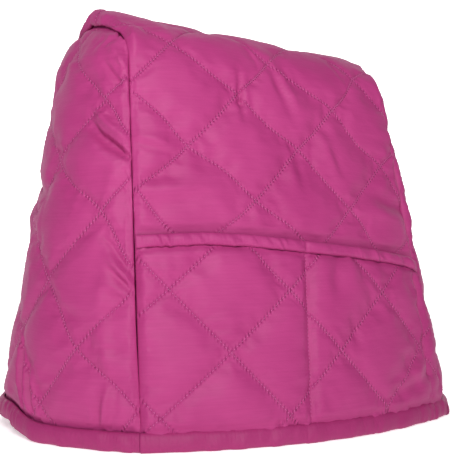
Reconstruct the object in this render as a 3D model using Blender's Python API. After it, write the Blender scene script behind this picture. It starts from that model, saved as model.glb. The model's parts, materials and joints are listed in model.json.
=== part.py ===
"""Quilted fitted cover for a stand mixer.

One quilted length runs from the near hem over the ridge to the far hem.
Two arched end panels close it, a two-part pocket is sewn over the near side,
and a padded binding is folded over the hem and over the pocket's mouth.
+X runs from the tall front end to the low back end, +Z is up, and the origin
lies on the floor at the middle of the hem.
"""
import math

import bmesh
import bpy
import numpy as np
from mathutils import Matrix, Vector

# Driving sizes, in metres.
HEM_LENGTH = 0.367           # near side along the hem, seam to seam
HEM_WIDTH = 0.284            # between the side seams at the hem
SHOULDER_WIDTH = 0.172       # between the side seams at the shoulders
FRONT_HEIGHT = 0.439         # ridge at the front seam, before it is softened
BACK_HEIGHT = 0.402          # the same at the back seam
FRONT_CROWN = 0.048          # rise from shoulder to ridge, at the front
BACK_CROWN = 0.010
SHOULDER_RADIUS = 0.053
FRONT_LEAN = 0.015           # how far each end seam leans in, hem to ridge
BACK_LEAN = 0.063
SIDE_BOW_HEM = 0.043         # how far the sides bow out between their seams
SIDE_BOW_TOP = 0.010
FRONT_BOW_HEM = 0.078        # how far the end panels bow out
FRONT_BOW_TOP = 0.016
BACK_BOW_HEM = 0.057
BACK_BOW_TOP = 0.013
FRONT_TWIST = 0.018          # the front's bow is fuller on the far side at the hem
TWIST_TOP = 0.12             # and even from this height on
BOW_POWER = 2.4              # above 2, the bow is flatter in the middle
BOW_FADE = 0.060             # the end panels' bow dies out this far below the ridge
RIDGE_SOFTENING = 0.005      # the ridge is rounded off by this much at the front
RIDGE_SOFT_WIDTH = 0.025

SHEET = 0.003                # thickness of the quilting where it is stitched
PUFF = 0.0075                # how far a quilted diamond swells out
PUFF_POWER = 0.6             # below 1, the swelling is steep at the stitches
SEAM_FADE = 0.014            # the swelling dies out this close to a seam
SEAM_GAP = 0.00035           # each panel stops this short of its seam

HEM_HEIGHT = 0.0185          # the hem binding
FOOT_LEVEL = 0.0188          # height of the panels' lower edge, just above it
PANEL_FOOT = 0.0190          # the same edge, up the cloth

MOUTH_DEPTH = 0.0125         # the binding over the pocket's mouth
POCKET_SHEET = 0.0025
POCKET_EDGE_SHEET = 0.0012   # pressed flat above the hem binding
POCKET_MOUTH_SHARE = 0.8     # share of its thickness left under the mouth binding
POCKET_LIFT = 0.0008         # the pocket lies this far off the body
POCKET_PUFF = 0.0065
POCKET_PINCH = 0.5           # its layers are pressed to this share at the side seams
POCKET_PINCH_WIDTH = 0.015
DIVIDER_FOOT_X = 0.158       # the stitched line that parts the two pockets
DIVIDER_LEAN = 0.106
DIVIDER_FADE = 0.016

# The pocket's mouth, from the front seam to the back seam: along, up the cloth.
MOUTH_LINE = ((-0.010, 0.2000), (0.070, 0.2028), (0.120, 0.2005),
              (0.180, 0.1952), (0.240, 0.1910), (0.315, 0.1845), (0.400, 0.1680))

# Quilting: the stitched lines cross at origin + i * across + j * up, i + j even.
BODY_QUILT = {"origin": (0.1318, 0.2378), "across": (0.0566, -0.0034), "up": (-0.0063, 0.0505)}
POCKET_QUILT = {"origin": (0.0178, 0.0303), "across": (0.0595, -0.0017), "up": (0.0074, 0.0590)}
END_QUILT = {"origin": (-0.0175, 0.2729), "across": (0.0555, 0.0), "up": (0.0080, 0.0590)}
QUILT_STEPS = 4              # mesh cells along each side of a diamond
QUILT_CROWDING = 0.10        # draws the cells' corners towards the stitches
ARCH_START = 0.33            # the end panels' arch begins at this height
QUILT_REACH = 11             # diamonds covered each way from the origin
SLIVER = 0.0045              # mesh points closer than this to an edge join it
EDGE_STEP = 0.009            # edges longer than this are divided along a seam
ARCH_ANGLES = range(0, 84, 12)  # degrees: the arch's corners, closer near the ridge
SEAM_SAMPLES = 241           # heights at which an end panel's seams are measured
CLOTH_SAMPLES = 25           # shares at which its bowed cloth is measured
STEP = 0.0015                # run over which slopes are measured
SHARE_STEP = 0.02            # the same, as a share of an end panel's half width
MERGE = 1e-5
SHARP_ANGLE = 50             # degrees: steeper edges are shaded sharp

# Broad dents (minus) and swells (plus) of the end panels, in metres:
# across and up the cloth, half width, half height, depth.
FRONT_FOLDS = ((0.085, 0.225, 0.030, 0.022, -0.006),
               (0.075, 0.150, 0.040, 0.040, 0.004),
               (-0.085, 0.290, 0.030, 0.018, -0.004),
               (-0.060, 0.350, 0.035, 0.025, 0.003))
BACK_FOLDS = ((-0.060, 0.160, 0.045, 0.030, 0.003),
              (0.050, 0.240, 0.040, 0.030, -0.003))

# The hem binding's padded section: out from the cloth (plus is outside), up.
HEM_SECTION = ((0.0034, 0.0), (-0.0030, 0.0), (-0.0046, 0.0028), (-0.0049, 0.0100),
               (-0.0043, 0.0162), (-0.0032, HEM_HEIGHT), (0.0026, HEM_HEIGHT),
               (0.0045, 0.0163), (0.0057, 0.0112), (0.0056, 0.0056), (0.0048, 0.0018))

# The mouth binding's padded section: out from the body, down from the mouth.
MOUTH_SECTION = ((0.0012, 0.0035), (0.0012, 0.0100), (0.0024, MOUTH_DEPTH), (0.0052, MOUTH_DEPTH),
                 (0.0068, 0.0098), (0.0072, 0.0060), (0.0060, 0.0022), (0.0040, 0.0002),
                 (0.0022, 0.0012))
POCKET_TOP = 0.0130          # the pocket's edge stops this far below the mouth
MOUTH_LIFT = 0.0010          # extra lift of the pocket at its mouth
MOUTH_CLEAR = 0.006          # the body starts to swell this far above the mouth
MOUTH_RINGS = 25             # sections along each binding
SIDE_RINGS = 19
END_RINGS = 25

ORIGIN_X = (HEM_LENGTH + BACK_BOW_HEM - FRONT_BOW_HEM) / 2
NEAR, FAR = -1, 1

MATERIALS = {  # colour, roughness
    "quilted_satin": ((0.54, 0.075, 0.26, 1.0), 0.42),
    "binding_satin": ((0.45, 0.050, 0.20, 1.0), 0.48),
}


def mix(first, second, share):
    return first + (second - first) * share


def ease(value, reach):
    """0 at or below zero, 1 from reach on, smooth between."""
    share = min(max(value / reach, 0.0), 1.0)
    return share * share * (3 - 2 * share)


def bow(share):
    return 4 * share * (1 - share)


def ridge_softening(along):
    return RIDGE_SOFTENING * mix(1.0, BACK_CROWN / FRONT_CROWN, along)


def section(along, up):
    """The near half of the cover's section: along and up run from 0 to 1."""
    hem = HEM_WIDTH / 2 + SIDE_BOW_HEM * bow(along)
    shoulder = SHOULDER_WIDTH / 2 + SIDE_BOW_TOP * bow(along)
    ridge = mix(FRONT_HEIGHT, BACK_HEIGHT, along)
    crown = mix(FRONT_CROWN, BACK_CROWN, along)
    side = Vector((hem - shoulder, ridge - crown))
    slope = Vector((shoulder, crown))
    turn = side.angle(slope)
    tangent = SHOULDER_RADIUS * math.tan(turn / 2)
    straight = side.length - tangent
    arc = SHOULDER_RADIUS * turn
    length = straight + arc + slope.length - tangent
    run = up * length
    rise = side.normalized()
    inward = Vector((rise.y, -rise.x))
    start = Vector((-hem, 0))
    if run < straight:
        point = start + rise * run
    elif run < straight + arc:
        angle = (run - straight) / SHOULDER_RADIUS
        point = start + rise * straight
        point += (rise * math.sin(angle) + inward * (1 - math.cos(angle))) * SHOULDER_RADIUS
    else:
        point = Vector((0, ridge)) - slope.normalized() * (length - run)
    softening = ridge_softening(along) * math.exp(-(point.x / RIDGE_SOFT_WIDTH) ** 2)
    return point.x, point.y - softening, length


HALF_GIRTH = section(0, 0)[2]


def seams(up):
    """X of the front and back seams on the flat body panel, at up from 0 to 1."""
    return FRONT_LEAN * up, HEM_LENGTH - BACK_LEAN * up


def body_point(x, run):
    """Flat body panel, along and up from the near hem over the ridge, to space."""
    up = run / HALF_GIRTH
    side = NEAR
    if up > 1:
        up = 2 - up
        side = FAR
    front, back = seams(up)
    y, z, _ = section((x - front) / (back - front), up)
    return Vector((x - ORIGIN_X, side * abs(y), z))


def outward_normal(point, first_run, second_run):
    """Unit normal of two directions, turned away from the cover's inside."""
    normal = first_run.cross(second_run).normalized()
    outward = point - Vector((0, 0, BACK_HEIGHT / 2))
    return normal if normal.dot(outward) > 0 else -normal


def body_normal(x, run):
    along = body_point(x + STEP, run) - body_point(x - STEP, run)
    rise = body_point(x, run + STEP) - body_point(x, run - STEP)
    return outward_normal(body_point(x, run), along, rise)


class EndPanel:
    """An arched end panel: flat coordinates are across (near is minus) and height."""

    def __init__(self, along, bow_hem, bow_top, twist, folds):
        self.along = along
        self.outward = -1 if along == 0 else 1
        self.bow_hem = bow_hem
        self.bow_top = bow_top
        self.twist = twist
        self.folds = folds
        self.height = mix(FRONT_HEIGHT, BACK_HEIGHT, along) - ridge_softening(along)
        ups = np.linspace(0, 1, SEAM_SAMPLES)
        rows = [section(along, up) for up in ups]
        self.ups = ups
        self.widths = [-row[0] for row in rows]
        self.levels = [row[1] for row in rows]

    def seam_up(self, z):
        """How far up the seam, from 0 to 1, it reaches height z."""
        return float(np.interp(z, self.levels, self.ups))

    def row(self, z):
        """Seam's X, half width between the seams and bow of the panel at height z."""
        width = float(np.interp(z, self.levels, self.widths))
        share = z / self.height
        depth = mix(self.bow_hem, self.bow_top, share)
        depth *= min(max((self.height - z) / BOW_FADE, 0.0), 1.0)
        return seams(self.seam_up(z))[self.along], max(width, MERGE), depth

    def lengths(self, z):
        """Distances along the bowed cloth from its middle, for shares of the half width."""
        _, width, depth = self.row(z)
        shares = np.linspace(0, 1, CLOTH_SAMPLES)
        steps = np.hypot(np.diff(shares) * width, np.diff(shares ** BOW_POWER) * depth)
        return shares, np.concatenate(([0], np.cumsum(steps)))

    def half(self, z):
        return float(self.lengths(z)[1][-1])

    def share(self, across, z):
        """Share of the half width at which a flat point lies, minus on the near side."""
        shares, lengths = self.lengths(z)
        return math.copysign(float(np.interp(abs(across), lengths, shares)), across)

    def place(self, share, z):
        seam, width, depth = self.row(z)
        depth *= 1 - abs(share) ** BOW_POWER
        depth += self.twist * (1 - ease(z, TWIST_TOP)) * share * (1 - share ** 2)
        x = seam + self.outward * depth
        return Vector((x - ORIGIN_X, width * share, z))

    def point(self, across, z):
        return self.place(self.share(across, z), z)

    def normal(self, across, z):
        share = self.share(across, z)
        low = max(share - SHARE_STEP, -1.0)
        high = min(share + SHARE_STEP, 1.0)
        run = self.place(high, z) - self.place(low, z)
        rise = self.place(share, min(z + STEP, self.height)) - self.place(share, max(z - STEP, 0))
        return outward_normal(self.place(share, z), run, rise)


FRONT = EndPanel(0, FRONT_BOW_HEM, FRONT_BOW_TOP, FRONT_TWIST, FRONT_FOLDS)
BACK = EndPanel(1, BACK_BOW_HEM, BACK_BOW_TOP, 0, BACK_FOLDS)


def mitre(first, second):
    """The offset at a seam that keeps both sheets at their thickness."""
    return (first + second) / (1 + first.dot(second))


def seam_mitre(end, up, side):
    """Mitred normal on an end panel's seam, at up from 0 to 1 along it."""
    run = up * HALF_GIRTH if side == NEAR else (2 - up) * HALF_GIRTH
    z = float(np.interp(up, end.ups, end.levels))
    body = body_normal(seams(up)[end.along], run)
    return mitre(body, end.normal(side * end.half(z), z))


def lattice(quilt):
    """Matrix from diamond coordinates, whole on the stitches, to the flat cloth."""
    across = Vector(quilt["across"])
    up = Vector(quilt["up"])
    rising = across + up
    falling = across - up
    origin = quilt["origin"]
    return Matrix(((rising.x, falling.x, 0, origin[0]), (rising.y, falling.y, 0, origin[1]),
                   (0, 0, 1, 0), (0, 0, 0, 1)))


def pillow(inverse, across, up):
    """Swelling of the quilting, 0 on the stitches and 1 in a diamond's middle."""
    cell = inverse @ Vector((across, up, 0))
    return abs(math.sin(math.pi * cell.x) * math.sin(math.pi * cell.y)) ** PUFF_POWER


def flat_quilt(quilt, outline, open_side=None):
    """A flat mesh on the quilting's lattice, trimmed a seam gap inside a convex outline.

    The outline runs counter-clockwise. Its side of the number open_side gets no gap.
    """
    mesh = bmesh.new()
    cells = 2 * QUILT_REACH * QUILT_STEPS
    bmesh.ops.create_grid(mesh, x_segments=cells, y_segments=cells, size=QUILT_REACH,
                          matrix=Matrix.Identity(4))
    for vert in mesh.verts:
        vert.co.x -= QUILT_CROWDING * math.sin(2 * math.pi * vert.co.x)
        vert.co.y -= QUILT_CROWDING * math.sin(2 * math.pi * vert.co.y)
    bmesh.ops.transform(mesh, matrix=lattice(quilt), verts=mesh.verts)
    for side, (start, end) in enumerate(zip(outline, outline[1:] + outline[:1])):
        run = Vector(end) - Vector(start)
        outside = Vector((run.y, -run.x, 0)).normalized()
        gap = 0 if side == open_side else SEAM_GAP
        cut(mesh, Vector((*start, 0)) - outside * gap, outside, True)
    return mesh


def cut(mesh, point, normal, clear):
    bmesh.ops.bisect_plane(mesh, geom=mesh.verts[:] + mesh.edges[:] + mesh.faces[:], dist=1e-6,
                           plane_co=point, plane_no=normal, clear_outer=clear)


def finish_flat(mesh):
    """Clear slivers at the edge, divide its long edges and make triangles."""
    edge = [vert for vert in mesh.verts if vert.is_boundary]
    found = bmesh.ops.find_doubles(mesh, verts=mesh.verts, keep_verts=edge, dist=SLIVER)
    bmesh.ops.weld_verts(mesh, targetmap=found["targetmap"])
    bmesh.ops.dissolve_degenerate(mesh, dist=1e-5, edges=mesh.edges)
    for _ in range(2):
        border = [line for line in mesh.edges if line.is_boundary and line.calc_length() > EDGE_STEP]
        bmesh.ops.subdivide_edges(mesh, edges=border, cuts=1)
    bmesh.ops.triangulate(mesh, faces=mesh.faces)


def at_foot(up):
    """Whether a place up the flat cloth is at the near or the far lower edge."""
    return min(up, 2 * HALF_GIRTH - up) < PANEL_FOOT + SEAM_GAP + MERGE


def face_out(mesh):
    """Turn a closed mesh's faces outward."""
    bmesh.ops.recalc_face_normals(mesh, faces=mesh.faces)
    if mesh.calc_volume(signed=True) < 0:
        bmesh.ops.reverse_faces(mesh, faces=mesh.faces)


def thicken(mesh, outer, inner):
    """Close a flat mesh into a sheet between two mapped faces.

    Both functions take a flat point and whether it lies on the sheet's edge.
    The lower edge ends up level.
    """
    twin = mesh.verts.layers.int.new("twin")
    mesh.verts.index_update()
    flats = [(vert.co.x, vert.co.y, vert.is_boundary) for vert in mesh.verts]
    for vert in mesh.verts:
        vert[twin] = vert.index
    grown = bmesh.ops.extrude_face_region(mesh, geom=mesh.faces[:], use_keep_orig=True)
    inside = {item for item in grown["geom"] if isinstance(item, bmesh.types.BMVert)}
    for vert in mesh.verts:
        place = inner if vert in inside else outer
        across, up, on_edge = flats[vert[twin]]
        vert.co = place(across, up, on_edge)
        if on_edge and at_foot(up):
            vert.co.z = FOOT_LEVEL
    face_out(mesh)


def sweep(rings):
    """A closed tube through equal rings of points, with a cap at each end."""
    mesh = bmesh.new()
    last_ring = len(rings) - 1
    count = len(rings[0])
    bmesh.ops.create_grid(mesh, x_segments=last_ring, y_segments=count, size=1)
    for vert in mesh.verts:
        ring = rings[round((vert.co.x + 1) / 2 * last_ring)]
        vert.co = ring[round((vert.co.y + 1) / 2 * count) % count]
    bmesh.ops.remove_doubles(mesh, verts=mesh.verts, dist=1e-6)
    bmesh.ops.holes_fill(mesh, edges=mesh.edges)
    bmesh.ops.triangulate(mesh, faces=mesh.faces)
    face_out(mesh)
    return mesh


def mouth(x):
    """Where the pocket's mouth lies, up the cloth of the near side."""
    places, runs = zip(*MOUTH_LINE)
    return float(np.interp(x, places, runs))


def body_puff(x, run, inverse):
    up = run / HALF_GIRTH
    near_side = up <= 1
    up = min(up, 2 - up)
    front, back = seams(up)
    puff = PUFF * pillow(inverse, x, run)
    puff *= ease(x - front, SEAM_FADE) * ease(back - x, SEAM_FADE)
    puff *= ease(up * HALF_GIRTH - HEM_HEIGHT, SEAM_FADE)
    if near_side:
        puff *= ease(run - mouth(x) - MOUTH_CLEAR, SEAM_FADE)
    return puff


def body_offset(x, run, on_edge):
    """Direction in which the body panel's thickness goes, mitred at its seams."""
    up = run / HALF_GIRTH
    side = NEAR if up <= 1 else FAR
    up = min(up, 2 - up)
    front, back = seams(up)
    if on_edge and x - front < 2 * SEAM_GAP:
        return seam_mitre(FRONT, up, side)
    if on_edge and back - x < 2 * SEAM_GAP:
        return seam_mitre(BACK, up, side)
    return body_normal(x, run)


def body_half_outline(side):
    """One half of the flat body panel: its third side is the ridge on the near half."""
    foot_front, foot_back = seams(PANEL_FOOT / HALF_GIRTH)
    ridge_front, ridge_back = seams(1)
    foot = PANEL_FOOT if side == NEAR else 2 * HALF_GIRTH - PANEL_FOOT
    corners = [(foot_front, foot), (foot_back, foot)]
    corners += [(ridge_back, HALF_GIRTH), (ridge_front, HALF_GIRTH)]
    return corners if side == NEAR else corners[::-1]


def make_body_panel():
    mesh = flat_quilt(BODY_QUILT, body_half_outline(NEAR), open_side=2)
    far_half = flat_quilt(BODY_QUILT, body_half_outline(FAR), open_side=0)
    far_mesh = bpy.data.meshes.new("far_half")
    far_half.to_mesh(far_mesh)
    far_half.free()
    mesh.from_mesh(far_mesh)
    bpy.data.meshes.remove(far_mesh)
    bmesh.ops.remove_doubles(mesh, verts=mesh.verts, dist=1e-5)
    finish_flat(mesh)
    inverse = lattice(BODY_QUILT).inverted()

    def outer(x, run, _):
        return body_point(x, run) + body_normal(x, run) * body_puff(x, run, inverse)

    def inner(x, run, on_edge):
        return body_point(x, run) - body_offset(x, run, on_edge) * SHEET

    thicken(mesh, outer, inner)
    return mesh


def end_outline(end):
    """The flat end panel's outline: hem, far seam up to the ridge, near seam down."""
    arch = ARCH_START + (end.height - ARCH_START) * np.sin(np.radians(ARCH_ANGLES))
    right = [(end.half(z), z) for z in (PANEL_FOOT, *arch)]
    left = [(-across, z) for across, z in reversed(right)]
    return right + [(0.0, end.height)] + left


def end_puff(end, across, z, inverse):
    puff = PUFF * pillow(inverse, across, z)
    edge = end.half(z) - abs(across)
    edge_fade = ease(edge, SEAM_FADE) * ease(z - HEM_HEIGHT, SEAM_FADE)
    edge_fade *= ease(end.height - z, SEAM_FADE)
    for middle, level, half_width, half_height, depth in end.folds:
        reach = ((across - middle) / half_width) ** 2 + ((z - level) / half_height) ** 2
        puff += depth * math.exp(-reach)
    return puff * edge_fade


def end_offset(end, across, z, on_edge):
    """Direction in which an end panel's thickness goes, mitred at its seam."""
    at_seam = not at_foot(z) or end.half(z) - abs(across) < 2 * SEAM_GAP
    if on_edge and at_seam:
        return seam_mitre(end, end.seam_up(z), NEAR if across < 0 else FAR)
    return end.normal(across, z)


def follow_seams(mesh, end):
    """Move the edge of a flat end panel onto its gently curved side seams."""
    for vert in mesh.verts:
        half = end.half(vert.co.y) - SEAM_GAP
        beside = vert.is_boundary and vert.co.y < ARCH_START
        overhang = abs(vert.co.x) > half and vert.co.y < ARCH_START
        if overhang or beside and not at_foot(vert.co.y):
            vert.co.x = math.copysign(half, vert.co.x)


def make_end_panel(end):
    mesh = flat_quilt(END_QUILT, end_outline(end))
    finish_flat(mesh)
    follow_seams(mesh, end)
    inverse = lattice(END_QUILT).inverted()

    def outer(across, z, _):
        return end.point(across, z) + end.normal(across, z) * end_puff(end, across, z, inverse)

    def inner(across, z, on_edge):
        return end.point(across, z) - end_offset(end, across, z, on_edge) * SHEET

    thicken(mesh, outer, inner)
    return mesh


def pocket_pinch(x, run):
    """Share of the pocket's lift and thickness that is left near its side seams."""
    front, back = seams(run / HALF_GIRTH)
    edge = min(x - front, back - x)
    return mix(POCKET_PINCH, 1.0, ease(edge, POCKET_PINCH_WIDTH))


def divider(run):
    return DIVIDER_FOOT_X + DIVIDER_LEAN * run


def pocket_lift(x, run):
    near_mouth = 1 - ease(mouth(x) - MOUTH_DEPTH - run, SEAM_FADE)
    return POCKET_LIFT + MOUTH_LIFT * near_mouth * pocket_pinch(x, run)


def pocket_thickness(x, run, inverse):
    front, back = seams(run / HALF_GIRTH)
    edge = min(x - front, back - x)
    above_hem = ease(run - HEM_HEIGHT, SEAM_FADE)
    below_mouth = ease(mouth(x) - MOUTH_DEPTH - run, SEAM_FADE)
    sheet = mix(POCKET_EDGE_SHEET, POCKET_SHEET, above_hem) * pocket_pinch(x, run)
    puff = POCKET_PUFF * pillow(inverse, x, run) * ease(edge, SEAM_FADE)
    puff *= above_hem * below_mouth * ease(abs(x - divider(run)), DIVIDER_FADE)
    return sheet * mix(POCKET_MOUTH_SHARE, 1.0, below_mouth) + puff


def pocket_outline():
    front, back = seams(PANEL_FOOT / HALF_GIRTH)
    front_top = seams(mouth(0) / HALF_GIRTH)[0]
    back_top = seams(mouth(HEM_LENGTH) / HALF_GIRTH)[1]
    places = [front_top] + [x for x, _ in MOUTH_LINE[1:-1]] + [back_top]
    top = [(x, mouth(x) - POCKET_TOP) for x in reversed(places)]
    return [(front, PANEL_FOOT), (back, PANEL_FOOT)] + top


def make_pocket_panel():
    mesh = flat_quilt(POCKET_QUILT, pocket_outline())
    cut(mesh, Vector((divider(0), 0, 0)), Vector((1, -DIVIDER_LEAN, 0)), False)
    finish_flat(mesh)
    inverse = lattice(POCKET_QUILT).inverted()

    def inner(x, run, _):
        return body_point(x, run) + body_normal(x, run) * pocket_lift(x, run)

    def outer(x, run, _):
        rise = pocket_lift(x, run) + pocket_thickness(x, run, inverse)
        return body_point(x, run) + body_normal(x, run) * rise

    thicken(mesh, outer, inner)
    return mesh


def make_pocket_binding():
    rings = []
    front = seams(mouth(0) / HALF_GIRTH)[0] + SEAM_GAP
    back = seams(mouth(HEM_LENGTH) / HALF_GIRTH)[1] - SEAM_GAP
    for x in np.linspace(front, back, MOUTH_RINGS):
        ring = []
        for out, drop in MOUTH_SECTION:
            run = mouth(x) - drop
            first_out = MOUTH_SECTION[0][0]
            rise = first_out + (out - first_out) * pocket_pinch(x, run)
            ring.append(body_point(x, run) + body_normal(x, run) * rise)
        rings.append(ring)
    return sweep(rings)


def level(vector):
    """The horizontal direction of a normal."""
    return Vector((vector.x, vector.y, 0))


def level_mitre(end, side):
    """Mitre of the hem binding at a corner, in plan."""
    foot = 0 if side == NEAR else 2 * HALF_GIRTH
    body = level(body_normal(seams(0)[end.along], foot)).normalized()
    cap = level(end.normal(side * end.half(0), 0)).normalized()
    return mitre(body, cap)


def hem_ring(point, outward):
    """The binding's section at one place: point gives the cloth at a height."""
    ring = []
    for out, height in HEM_SECTION:
        place = point(height) + outward * out
        ring.append(Vector((place.x, place.y, height)))
    return ring


def make_side_binding(side):
    """The hem binding of the near or far side, mitred at its two seams."""
    foot = 0 if side == NEAR else 2 * HALF_GIRTH
    rings = []
    for share in np.linspace(0, 1, SIDE_RINGS):

        def cloth(height):
            front, back = seams(height / HALF_GIRTH)
            x = mix(front + SEAM_GAP, back - SEAM_GAP, share)
            return body_point(x, abs(foot - height))

        outward = level(body_normal(mix(0, HEM_LENGTH, share), foot)).normalized()
        if share in (0, 1):
            outward = level_mitre(FRONT if share == 0 else BACK, side)
        rings.append(hem_ring(cloth, outward))
    return sweep(rings)


def make_end_binding(end):
    rings = []
    for share in np.linspace(-1, 1, END_RINGS):

        def cloth(height):
            return end.point(share * (end.half(height) - SEAM_GAP), height)

        outward = level(end.normal(share * end.half(0), 0)).normalized()
        if abs(share) == 1:
            outward = level_mitre(end, NEAR if share < 0 else FAR)
        rings.append(hem_ring(cloth, outward))
    return sweep(rings)


def fabric(name, kind):
    """A material of its own for each piece."""
    colour, roughness = MATERIALS[kind]
    material = bpy.data.materials.new(name)
    material.use_nodes = True
    shader = material.node_tree.nodes["Principled BSDF"]
    shader.inputs["Base Color"].default_value = colour
    shader.inputs["Roughness"].default_value = roughness
    shader.inputs["Metallic"].default_value = 0.0
    material.diffuse_color = colour
    return material


def add_piece(name, mesh, kind, collection):
    data = bpy.data.meshes.new(name)
    mesh.to_mesh(data)
    mesh.free()
    data.shade_smooth()
    data.set_sharp_from_angle(angle=math.radians(SHARP_ANGLE))
    data.materials.append(fabric(name + "_" + kind, kind))
    piece = bpy.data.objects.new(name, data)
    collection.objects.link(piece)
    return piece


def main():
    for item in list(bpy.data.objects):
        bpy.data.objects.remove(item, do_unlink=True)
    collection = bpy.data.collections.new("stand_mixer_cover")
    bpy.context.scene.collection.children.link(collection)
    quilted = {
        "body_panel": make_body_panel(),
        "front_panel": make_end_panel(FRONT),
        "back_panel": make_end_panel(BACK),
        "pocket_panel": make_pocket_panel(),
    }
    bound = {
        "pocket_binding": make_pocket_binding(),
        "hem_binding_near": make_side_binding(NEAR),
        "hem_binding_front": make_end_binding(FRONT),
        "hem_binding_far": make_side_binding(FAR),
        "hem_binding_back": make_end_binding(BACK),
    }
    for name, mesh in quilted.items():
        add_piece(name, mesh, "quilted_satin", collection)
    for name, mesh in bound.items():
        add_piece(name, mesh, "binding_satin", collection)


main()
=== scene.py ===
# %% [markdown]
# # A quilted cover for a stand mixer
# A cover like this is sewn from a few quilted panels: one long length that runs up the near side,
# over the ridge and down the far side, and two arched ends. A pocket is laid over the near side,
# and padded bindings close the pocket's mouth and the hem. This lesson takes the plain solids of
# those pieces and dresses each one in its own cloth.

# %% Load the fixed frame
import json
import math
from contextlib import contextmanager

import bpy
import numpy as np
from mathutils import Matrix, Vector

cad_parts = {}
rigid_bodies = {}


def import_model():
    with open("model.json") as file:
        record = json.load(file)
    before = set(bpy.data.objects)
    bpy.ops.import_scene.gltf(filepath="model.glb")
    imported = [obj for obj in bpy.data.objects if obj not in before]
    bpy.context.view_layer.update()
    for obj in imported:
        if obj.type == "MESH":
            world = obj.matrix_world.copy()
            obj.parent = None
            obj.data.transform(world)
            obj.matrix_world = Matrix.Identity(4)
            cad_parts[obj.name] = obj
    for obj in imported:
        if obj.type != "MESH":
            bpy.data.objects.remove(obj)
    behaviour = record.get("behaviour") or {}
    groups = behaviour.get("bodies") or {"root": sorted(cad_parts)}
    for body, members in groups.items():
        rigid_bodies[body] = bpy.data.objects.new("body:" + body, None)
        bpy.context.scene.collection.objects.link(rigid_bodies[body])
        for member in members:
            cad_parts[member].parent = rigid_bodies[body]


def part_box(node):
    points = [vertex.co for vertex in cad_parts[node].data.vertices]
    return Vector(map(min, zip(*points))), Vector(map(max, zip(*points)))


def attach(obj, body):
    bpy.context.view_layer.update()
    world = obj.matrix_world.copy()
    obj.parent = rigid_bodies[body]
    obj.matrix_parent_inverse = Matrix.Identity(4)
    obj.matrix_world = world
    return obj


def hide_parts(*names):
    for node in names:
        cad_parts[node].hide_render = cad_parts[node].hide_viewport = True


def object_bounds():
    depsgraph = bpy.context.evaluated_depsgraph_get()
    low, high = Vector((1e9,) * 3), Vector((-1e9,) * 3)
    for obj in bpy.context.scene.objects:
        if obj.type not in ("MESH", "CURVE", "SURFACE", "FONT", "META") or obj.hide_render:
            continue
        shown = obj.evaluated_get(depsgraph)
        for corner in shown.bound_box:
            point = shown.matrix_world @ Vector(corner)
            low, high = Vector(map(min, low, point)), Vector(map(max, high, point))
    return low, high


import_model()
cad_box = [list(corner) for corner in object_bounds()]
cover_size = np.subtract(cad_box[1], cad_box[0])
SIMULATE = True
print("The cover measures", cover_size.round(3), "m")

# %% [markdown]
# ## The shape under the cloth
# Every panel bends over the mixer in its own way, so the shape is written as functions from the
# flat cloth to space. The alternative is to sculpt each panel by eye, but then a seam would
# need mending wherever two panels meet. With functions both panels reach the same seam line.
# The sizes are the ones that the cover was cut to, in metres. The near half of the cover's
# cross-section is a leaning side, a round shoulder and a gently rising roof.

# %% The cover's driving sizes
HEM_LENGTH = 0.367
HEM_WIDTH = 0.284
SHOULDER_WIDTH = 0.172
FRONT_HEIGHT, BACK_HEIGHT = 0.439, 0.402
FRONT_CROWN, BACK_CROWN = 0.048, 0.010
SHOULDER_RADIUS = 0.053
FRONT_LEAN, BACK_LEAN = 0.015, 0.063
SIDE_BOW = (0.043, 0.010)  # at the hem and at the top
FRONT_BOW = (0.078, 0.016)
BACK_BOW = (0.057, 0.013)
FRONT_TWIST, TWIST_TOP = 0.018, 0.12
HEM_RAISED, HEM_PULLED = 0.012, 0.006  # the front hem's far half, off the table and inwards
RAISED_TOP = 0.15  # the panel above it follows up to this height
LIFT_FROM, LIFT_REACH = -0.35, 0.50  # it rises across the hem, in shares of its half width
FALL_FROM, FALL_REACH = 0.50, 0.45  # and comes down again towards the far corner
BOW_POWER = 2.4
BOW_FADE = 0.060
RIDGE_SOFTENING = 0.005
RIDGE_SOFT_WIDTH = 0.025
HEM_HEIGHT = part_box("hem_binding_near")[1][2]
ORIGIN_X = (HEM_LENGTH + BACK_BOW[0] - FRONT_BOW[0]) / 2
FRONT, BACK = 0, 1
print("The hem measures", HEM_LENGTH, "m along the side and is", round(HEM_HEIGHT, 4), "m tall")


# %% The cross-section
def mix(first, second, share):
    return first + (second - first) * share


def ease(value, reach):
    """0 at or below zero, 1 from reach on, smooth between."""
    share = np.clip(value / reach, 0, 1)
    return share * share * (3 - 2 * share)


def ridge_softening(along):
    return RIDGE_SOFTENING * mix(1.0, BACK_CROWN / FRONT_CROWN, along)


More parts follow.
